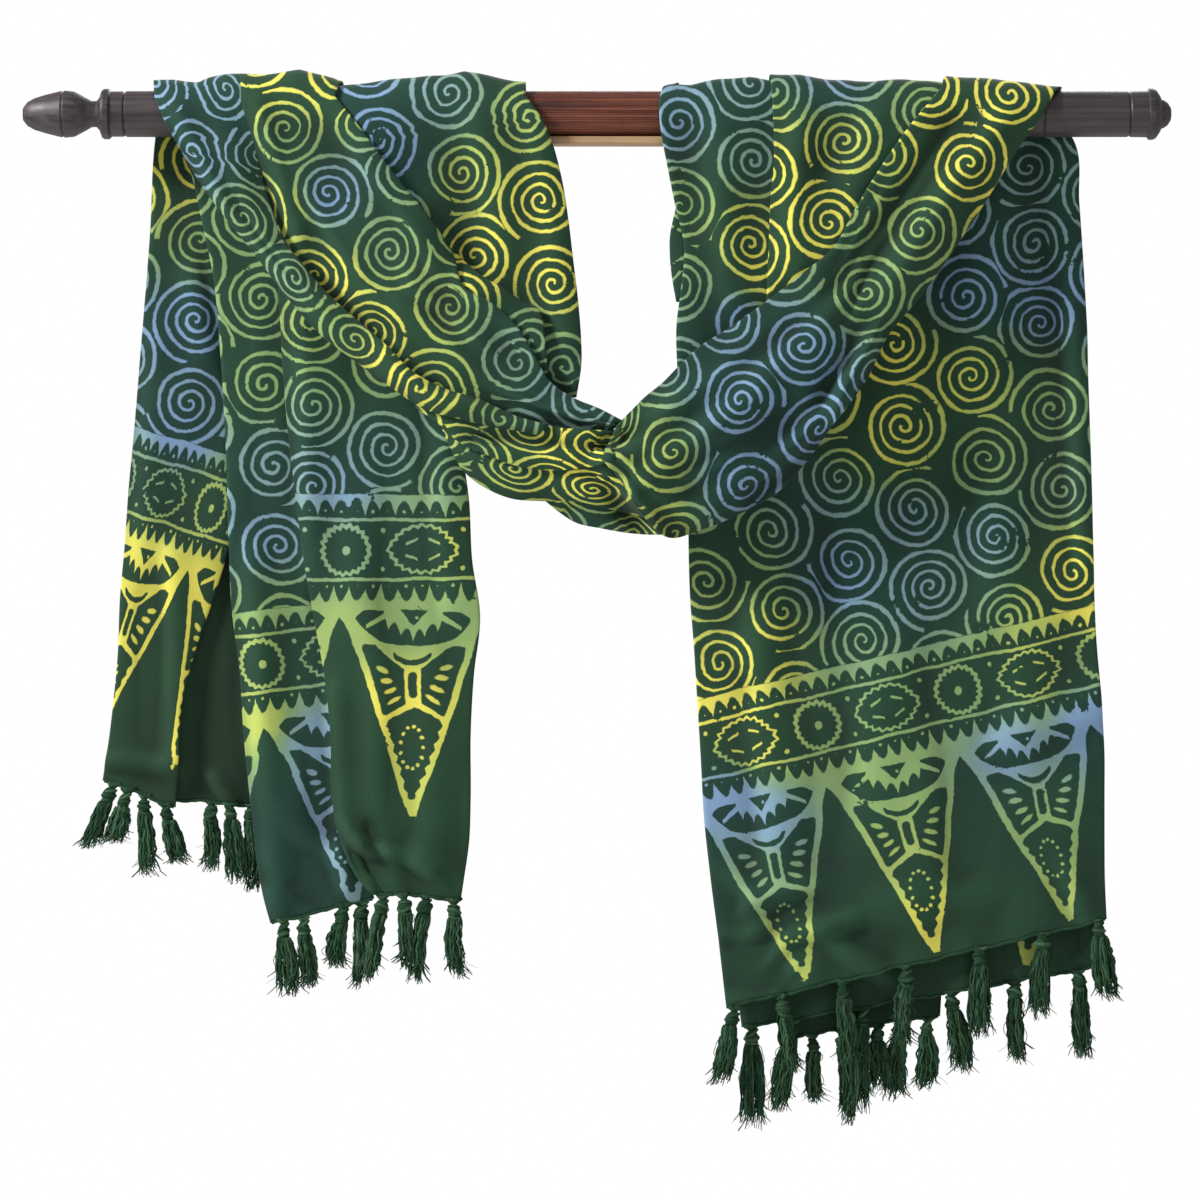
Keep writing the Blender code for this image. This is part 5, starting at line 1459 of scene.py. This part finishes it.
@dataclass
class Fringe:
    """Knotted tassels under one hem: a rolled edge, knots, and the loose threads under each."""

    node: str
    hem: np.ndarray
    tassels: list[Tassel]
    seed: int
    gathered: int = 7
    windings: int = 3
    threads: int = 84
    wisps: int = 7
    knot_height: float = 10.0

    def hem_place(self, x: float) -> np.ndarray:
        """The place on the hem that has this x, as (x, depth, z)."""
        row = self.hem[np.argsort(self.hem[:, 0])]
        return np.array([x, np.interp(x, row[:, 0], row[:, 1]), np.interp(x, row[:, 0], row[:, 2])])

    def tie_knot(self, root: np.ndarray, lean: float, draw: random.Random) -> tuple[np.ndarray, list[Tube]]:
        """Tubes of a knot and of the threads gathered into it from the hem.

        Args:
            root: Where the tassel hangs from the hem.
            lean: How far it leans along the rod for each millimetre down.
            draw: Source of its small chances.

        Returns:
            The foot of the knot, and the tubes.
        """
        drop = draw.uniform(1.0, 3.2)
        knot = root + np.array([lean * drop, draw.uniform(0.0, 1.5), -drop])
        width = draw.uniform(4.2, 5.8)
        down = np.array([lean * self.knot_height, 0.0, -self.knot_height])
        tubes = []
        for number in range(self.gathered):
            across = (number - self.gathered // 2) * draw.uniform(0.9, 2.0)
            start = root + np.array([across, 0.0, 0.6])
            way = np.linspace(0.0, 1.0, 4)[:, None]
            tubes.append(Tube(start + (knot - start) * way, np.array([1.0, 1.2, 1.5, 1.6]), 5, draw.random()))
        share = np.linspace(0.0, 1.0, 11)
        body = np.sin(math.pi * np.clip(share * 0.92 + 0.05, 0, 1)) ** 0.55
        tubes.append(Tube(knot + np.outer(share, down), body * width * 0.82, 12, draw.random() * 0.5))
        turn = np.linspace(0.0, 2 * math.pi, 17)
        for number in range(self.windings):
            # Threads wound round the knot, each at its own slant.
            level = (number + 0.8) / 3.6
            slant = draw.uniform(-3.2, 3.2)
            swell = width * 0.76 * math.sin(math.pi * (level * 0.9 + 0.06)) ** 0.55
            rise = slant * np.cos(turn + number)
            ring = np.stack([np.cos(turn) * swell, np.sin(turn) * swell, rise], axis=1)
            centre = knot + np.array([lean * level * self.knot_height, 0.0, -level * self.knot_height])
            tubes.append(Tube(centre + ring, np.full(17, draw.uniform(0.9, 1.3)), 5, draw.random()))
        return knot + down, tubes

    def hang_tassel(self, tassel: Tassel, draw: random.Random) -> list[Tube]:
        """Tubes of one tassel.

        Args:
            tassel: Where it hangs and ends.
            draw: Source of its small chances.

        Returns:
            The knot, its gathered threads above, and the loose threads below.
        """
        low, high = float(self.hem[:, 0].min()), float(self.hem[:, 0].max())
        root = self.hem_place(min(max(tassel.x, low + 1.5), high - 1.5))
        lean = (tassel.x_end - root[0]) / max(root[2] - tassel.z_end, 20.0)
        foot, tubes = self.tie_knot(root, lean, draw)
        length = foot[2] - tassel.z_end
        spread = draw.uniform(4.6, 7.8)
        curl = draw.uniform(-3.0, 3.0)
        way = np.linspace(0.0, 1.0, 15)
        for number in range(self.threads + self.wisps):
            wisp = number >= self.threads
            angle = draw.uniform(0, 2 * math.pi)
            out = math.sqrt(draw.random())
            reach = length * (draw.uniform(0.74, 1.0) if number % 5 else draw.uniform(0.5, 0.85))
            x_way = foot[0] + math.cos(angle) * out * (3.8 + (spread - 3.8) * np.minimum(way * 2.4, 1.0))
            x_way += (tassel.x_end - foot[0]) * way * reach / length
            hook = draw.uniform(-8.0, 8.0) * (1.0 if wisp or number % 3 == 0 else 0.25)
            hook = hook * np.maximum(way - HOOK_FROM, 0.0) / HOOK_LENGTH
            x_way += hook * np.maximum(way - HOOK_FROM, 0.0) / HOOK_LENGTH
            wave = draw.uniform(0.2, 0.9) * np.sin(way * draw.uniform(9, 26) + angle)
            x_way += curl * np.sin(way * 2.6) + wave
            depth_way = foot[1] + math.sin(angle) * out * (3.2 + 1.6 * way)
            depth_way += draw.uniform(0.2, 0.8) * np.sin(way * draw.uniform(9, 22) + 2 * angle)
            z_way = foot[2] + 1.5 - (reach + 1.5) * way
            if wisp:
                drift = draw.uniform(-4.0, 4.0) * way
                x_way += drift + draw.uniform(0.8, 2.0) * np.sin(way * draw.uniform(8, 20))
            points = np.stack([x_way, depth_way, z_way], axis=1)
            thick = 0.2 if wisp else draw.uniform(0.38, 0.66)
            radii = thick * np.minimum(1.25 - 0.25 * way, 2.6 - 2.2 * way)
            tubes.append(Tube(points, radii, 4, draw.random()))
        return tubes

    def build(self, thread: Material, cloth_node: str) -> Piece:
        """Makes the fringe of the hem.

        Args:
            thread: Material of the threads.
            cloth_node: The stretch whose hem it hangs from.

        Returns:
            The finished fringe.
        """
        draw = random.Random(self.seed)
        roll = self.hem.copy()
        roll[:, 1] += 0.3
        radii = np.array([0.95 + 0.2 * math.sin(x * 0.9) for x in roll[:, 0]])
        tubes = [Tube(roll, radii, 8, 0.3)]
        for tassel in self.tassels:
            tubes += self.hang_tassel(tassel, draw)
        verts, faces, strands = [], [], []
        for tube in tubes:
            tube.add_to(verts, faces, strands)
        piece = add_piece(self.node + "_threads", np.array(verts), faces, thread)
        add_values(piece.data, "strand", np.array(strands))
        bpy.ops.object.mode_set(mode="EDIT")
        finish_edit()
        bpy.ops.object.shade_smooth()
        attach(piece, "root")
        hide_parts(self.node)
        log.info("%s: %d tassels on %s", piece.name, len(self.tassels), cloth_node)
        return piece


@dataclass
class Rod:
    """The wooden rod: two turned ends, the reeded bar between them, and the strip under it."""

    radius: float = 14.5
    half_length: float = 258.0
    ledge_height: float = 4.8
    ledge_depth: float = 20.0
    seam: float = 0.3
    left_tip: float = -364.0
    right_tip: float = 360.0
    ring_corners: int = 96
    bar_corners: int = 144
    groove_depth: float = 0.7

    def disc(self, name: str, corners: int, radius: float, place: float) -> Piece:
        """Starts a piece with a round face that stands across the rod.

        Args:
            name: Name of the piece.
            corners: How many corners the face has.
            radius: Its radius.
            place: Its place along the rod.

        Returns:
            The piece, in object mode.
        """
        bpy.ops.object.select_all(action="DESELECT")
        bpy.ops.mesh.primitive_circle_add(
            vertices=corners, radius=radius * MM, fill_type="NGON",
            location=(place * MM, 0.0, 0.0), rotation=(0.0, math.pi / 2, 0.0),
        )
        piece = bpy.context.active_object
        piece.name = name
        bpy.ops.object.transform_apply(location=True, rotation=True, scale=True)
        return piece

    def turned_end(self, node: str, turning: list[Turning], tip: float, wood: Material) -> Piece:
        """Makes a turned end from rings drawn out along the rod.

        Args:
            node: The solid that it replaces.
            turning: Outline from the tip inwards.
            tip: Place of the tip along the rod.
            wood: Material of the end.

        Returns:
            The finished end.
        """
        way = 1.0 if tip < 0 else -1.0
        inner = -(self.half_length + self.seam) * way
        points = [point for point in turning if point.radius > 0]
        points.append(Turning(abs(inner - tip), points[-1].radius))
        first = points[0]
        piece = self.disc(node + "_wood", self.ring_corners, first.radius, tip + way * first.inward)
        bpy.ops.object.mode_set(mode="EDIT")
        bpy.ops.mesh.select_all(action="SELECT")
        for before, after in zip(points, points[1:]):
            step = way * (after.inward - before.inward) * MM
            bpy.ops.mesh.extrude_region_move(TRANSFORM_OT_translate={"value": (step, 0.0, 0.0)})
            grow = after.radius / before.radius
            centre = ((tip + way * after.inward) * MM, 0.0, 0.0)
            bpy.ops.transform.resize(value=(1.0, grow, grow), center_override=centre)
        finish_edit()
        bpy.ops.object.shade_smooth_by_angle(angle=math.radians(32))
        return self.dress(piece, node, wood)

    def bar(self, wood: Material) -> Piece:
        """Makes the reeded bar: a round section with fine grooves along its front and back.

        Args:
            wood: Material of the bar.

        Returns:
            The finished bar.
        """
        piece = self.disc("rod_bar_wood", self.bar_corners, self.radius, -self.half_length)
        for vertex in piece.data.vertices:
            height = vertex.co.z / (self.radius * MM)
            groove = 0.5 - 0.5 * math.cos(height * REED_WAVES)
            depth = self.groove_depth * groove * max(0.0, 1.0 - abs(height)) ** 0.3
            if abs(height - BEAD_HEIGHT) < BEAD_HALF:
                depth = -0.3
            shrink = 1.0 - depth / self.radius
            vertex.co.y *= shrink
            vertex.co.z *= shrink
        bpy.ops.object.mode_set(mode="EDIT")
        bpy.ops.mesh.select_all(action="SELECT")
        step = 2 * self.half_length * MM
        bpy.ops.mesh.extrude_region_move(TRANSFORM_OT_translate={"value": (step, 0.0, 0.0)})
        finish_edit()
        bpy.ops.object.shade_smooth_by_angle(angle=math.radians(24))
        return self.dress(piece, "rod_bar", wood)

    def ledge(self, wood: Material) -> Piece:
        """Makes the strip under the bar, its long edges eased.

        Args:
            wood: Material of the strip.

        Returns:
            The finished strip.
        """
        height = -self.radius - self.seam - self.ledge_height / 2
        bpy.ops.object.select_all(action="DESELECT")
        bpy.ops.mesh.primitive_cube_add(size=1.0, location=(0.0, 0.0, height * MM))
        piece = bpy.context.active_object
        piece.name = "rod_ledge_wood"
        piece.scale = (2 * self.half_length * MM, self.ledge_depth * MM, self.ledge_height * MM)
        bpy.ops.object.transform_apply(location=True, rotation=True, scale=True)
        bpy.ops.object.mode_set(mode="EDIT")
        bpy.ops.mesh.select_all(action="SELECT")
        bpy.ops.mesh.bevel(offset=0.7 * MM, segments=3, affect="EDGES")
        bpy.ops.object.mode_set(mode="OBJECT")
        bpy.ops.object.shade_smooth_by_angle(angle=math.radians(30))
        return self.dress(piece, "rod_ledge", wood)

    def dress(self, piece: Piece, node: str, wood: Material) -> Piece:
        """Gives a piece of the rod its wood, and its place on the body.

        Args:
            piece: The finished piece.
            node: The solid that it replaces.
            wood: Its material.

        Returns:
            The same piece.
        """
        piece.data.name = piece.name
        piece.data.materials.clear()
        piece.data.materials.append(wood)
        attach(piece, "root")
        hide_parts(node)
        log.info("%s: %d faces", piece.name, len(piece.data.polygons))
        return piece

    def build(self) -> None:
        """Makes the four pieces of the rod."""
        black = OiledWood("blackened_turned_wood", "1E1A1B", "332C2D", "4A4142", roughness=0.5).build()
        red = OiledWood("oiled_red_wood", "2F160F", "5C2B1C", "84492F", roughness=0.6).build()
        tan = OiledWood("bare_planed_wood", "7D5B3C", "A48560", "C4A57C", roughness=0.55).build()
        self.turned_end("rod_end_left", FINIAL_TURNING, self.left_tip, black)
        self.turned_end("rod_end_right", CAP_TURNING, self.right_tip, black)
        self.bar(red)
        self.ledge(tan)


# What the stretches of a group share, and the stretches in the order in which they are made.

SWAG = {"creases": SWAG_CREASES}
RIGHT_TAIL = {"tints": RIGHT_TAIL_TINTS, "creases": RIGHT_TAIL_CREASES, "hangs": Side.BACK, "deepest": 1.2}
LEFT_TAIL = {"creases": LEFT_TAIL_CREASES, "hangs": Side.BACK, "deepest": 1.2}
# Plies that lie in shadow behind others have their dye drawn darker, as painted shade.
STRETCHES = [
    Stretch(
        "swag_right_band", RIGHT_BAND, Placing(200, -76, lane=RIGHT_BAND_LANE), RIGHT_BAND_TINTS,
        folds=RIGHT_BAND_FOLDS, crests=RIGHT_BAND_CRESTS, back_depth=25.2, **SWAG,
    ),
    Stretch(
        "swag_right_inner_drop", RIGHT_INNER_DROP, Placing(96, -32, u=940, v=520), RIGHT_INNER_TINTS,
        folds=RIGHT_INNER_DROP_FOLDS, crests=RIGHT_INNER_DROP_CRESTS, back_depth=21.2, **SWAG,
    ),
    Stretch(
        "swag_right_outer_drop", RIGHT_OUTER_DROP, Placing(152, -20, u=1880, angle=-10), RIGHT_OUTER_TINTS,
        folds=RIGHT_OUTER_DROP_FOLDS, crests=RIGHT_OUTER_DROP_CRESTS, back_depth=23.0, **SWAG,
    ),
    Stretch(
        "swag_right_edge_fold", RIGHT_EDGE_FOLD, Placing(57, -57, u=2820), RIGHT_INNER_TINTS,
        rests_on="swag_right_inner_drop_cloth", **SWAG,
    ),
    Stretch(
        "tail_right_front", TAIL_RIGHT_FRONT, Placing(243, -216, v=1040, angle=8, angle_top=4),
        border=Placing(213, -529, angle=13.6), folds=TAIL_RIGHT_FOLDS, **RIGHT_TAIL,
    ),
    Stretch(
        "tail_right_middle", TAIL_RIGHT_MIDDLE, Placing(246, -243, u=94, v=520, angle=8, angle_top=4),
        border=Placing(270, -538, angle=-9), painted_shading=0.85, **RIGHT_TAIL,
    ),
    Stretch(
        "tail_right_back", TAIL_RIGHT_BACK, Placing(227, -243, u=188, v=104, angle=6, angle_top=2),
        border=Placing(246, -541, angle=4), painted_shading=0.6, **RIGHT_TAIL,
    ),
    Stretch(
        "swag_left_outer_band", OUTER_BAND,
        Placing(-224, -67, u=94, v=1560, squeeze=0.75, lane=OUTER_BAND_LANE), OUTER_BAND_TINTS,
        folds=OUTER_BAND_FOLDS, crests=OUTER_BAND_CRESTS, back_depth=22.9, **SWAG,
    ),
    Stretch(
        "swag_left_main_band", MAIN_BAND, Placing(-169, -54, v=2080, lane=MAIN_BAND_LANE), MAIN_BAND_TINTS,
        folds=MAIN_BAND_FOLDS, crests=MAIN_BAND_CRESTS, back_depth=22.7, **SWAG,
    ),
    Stretch(
        "swag_left_inner_drop", INNER_DROP, Placing(-38, -57, u=470, v=1040, angle=9), INNER_DROP_TINTS,
        folds=INNER_DROP_FOLDS, crests=INNER_DROP_CRESTS, back_depth=18.5, **SWAG,
    ),
    Stretch(
        "swag_left_inner_fold", INNER_FOLD, Placing(-41, -146, u=658), INNER_DROP_TINTS,
        rests_on="swag_left_inner_drop_cloth", **SWAG,
    ),
    Stretch(
        "swag_under_fold", UNDER_FOLD, Placing(-26, -215, u=752, squeeze=0.6, lane=LOW_LANE), LOW_TINTS,
        rests_on="swag_left_outer_band_cloth", **SWAG,
    ),
    Stretch(
        "swag_low_roll", LOW_ROLL, Placing(-3, -237, u=846, v=52, squeeze=0.55, lane=LOW_LANE), LOW_TINTS,
        rests_on="swag_under_fold_cloth", **SWAG,
    ),
    Stretch(
        "swag_lowest_roll", LOWEST_ROLL, Placing(-6, -253, u=1034, v=104, squeeze=0.6, lane=LOW_LANE),
        LOW_TINTS, rests_on="swag_low_roll_cloth", **SWAG,
    ),
    Stretch(
        "swag_back_left", BACK_LEFT, Placing(-63, -117, u=1128, angle=20), INNER_DROP_TINTS,
        rests_on="swag_left_inner_drop_cloth", painted_shading=0.7, **SWAG,
    ),
    Stretch(
        "swag_back_right", BACK_RIGHT, Placing(139, -117, u=1222, angle=-20), RIGHT_BAND_TINTS,
        rests_on="swag_right_band_cloth", painted_shading=0.7, **SWAG,
    ),
    Stretch(
        "tail_left_outer", TAIL_LEFT_OUTER, Placing(-258, -130, u=282, v=416, angle=-3), OUTER_TAIL_TINTS,
        border=Placing(-271, -415, angle=-17, scale=1.06, squeeze=0.61), painted_shading=0.84, **LEFT_TAIL,
    ),
    Stretch(
        "tail_left_outer_back", TAIL_LEFT_OUTER_BACK, Placing(-252, -130, u=376, v=468), OUTER_TAIL_TINTS,
        border=Placing(-195, -357, angle=-10), painted_shading=0.62, **LEFT_TAIL,
    ),
    Stretch(
        "tail_left_middle", TAIL_LEFT_MIDDLE, Placing(-211, -168, u=564, v=208, angle=4), MIDDLE_TAIL_TINTS,
        border=Placing(-172, -359, v=140.5, angle=7, scale=1.02), **LEFT_TAIL,
    ),
    Stretch(
        "tail_left_inner", TAIL_LEFT_INNER, Placing(-135, -209, u=658, v=260), INNER_TAIL_TINTS,
        border=Placing(-118, -293, v=140.5, scale=1.07), folds=TAIL_LEFT_INNER_FOLDS, **LEFT_TAIL,
    ),
]
FRINGES = {
    "tail_left_outer": TASSELS_LEFT_OUTER,
    "tail_left_outer_back": TASSELS_LEFT_OUTER_BACK,
    "tail_left_middle": TASSELS_LEFT_MIDDLE,
    "tail_left_inner": TASSELS_LEFT_INNER,
    "tail_right_front": TASSELS_RIGHT_FRONT,
    "tail_right_middle": TASSELS_RIGHT_MIDDLE,
    "tail_right_back": TASSELS_RIGHT_BACK,
}


@dataclass
class Cloth:
    """The dyed cloth with its fringe, in the stretches that show."""

    stretches: list[Stretch]
    fringes: dict[str, list[Tassel]]

    def build(self) -> None:
        """Makes every stretch, and the fringe of each hem."""
        dye = DyedCotton().build()
        thread = SpunThread().build()
        for number, stretch in enumerate(self.stretches):
            stretch.build(dye)
            tassels = self.fringes.get(stretch.node)
            if tassels:
                grid = stretch.hanging()
                stretch.add_creases(grid)
                node = stretch.node.replace("tail_", "fringe_")
                Fringe(node, grid[-1], tassels, 100 + number).build(thread, stretch.node)


@dataclass
class Studio:
    """Camera, soft lights and the floor."""

    distance: float = 3.0
    height: float = -0.306
    lens: float = 142.9
    floor_height: float = -0.95
    floor_size: float = 2.6

    def build(self) -> None:
        """Sets the camera level in front of the cloth, with broad soft light and a pale floor."""
        scene = bpy.context.scene
        camera = bpy.data.objects.new("camera", bpy.data.cameras.new("camera"))
        camera.data.lens = self.lens
        camera.data.sensor_width = 36.0
        camera.location = (0.0, -self.distance, self.height)
        camera.rotation_euler = (math.pi / 2, 0.0, 0.0)
        scene.collection.objects.link(camera)
        scene.camera = camera
        for name, place, turn, size, power in STUDIO_LIGHTS:
            light = bpy.data.objects.new(name, bpy.data.lights.new(name, "AREA"))
            light.data.shape = "RECTANGLE"
            light.data.size, light.data.size_y = size
            light.data.energy = power
            light.location = place
            light.rotation_euler = [math.radians(value) for value in turn]
            scene.collection.objects.link(light)
        world = bpy.data.worlds.new("studio")
        world.use_nodes = True
        tree = world.node_tree
        tree.nodes["Background"].inputs["Color"].default_value = (1.0, 1.0, 1.0, 1.0)
        # The backdrop is seen pure white, and lights the cloth more gently than it looks.
        known = {"seen": add_node(tree, "ShaderNodeLightPath", {}, {}).outputs["Is Camera Ray"]}
        work_out(tree, (("strength", "MULTIPLY_ADD", "seen", 1.0 - WORLD_STRENGTH, WORLD_STRENGTH),), known)
        tree.links.new(known["strength"], tree.nodes["Background"].inputs["Strength"])
        scene.world = world
        scene.view_settings.view_transform = "Standard"
        bpy.ops.object.select_all(action="DESELECT")
        bpy.ops.mesh.primitive_plane_add(size=self.floor_size, location=(0.0, 0.0, self.floor_height))
        floor = bpy.context.active_object
        floor.name = "floor"
        bpy.ops.object.transform_apply(location=True, rotation=True, scale=True)
        floor.data.materials.append(MattePaper().build())


def main() -> None:
    """Builds the rod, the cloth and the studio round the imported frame."""
    logging.basicConfig(level=logging.INFO, format="%(name)s: %(message)s")
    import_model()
    Rod().build()
    Cloth(STRETCHES, FRINGES).build()
    Studio().build()


if __name__ == "__main__":
    main()
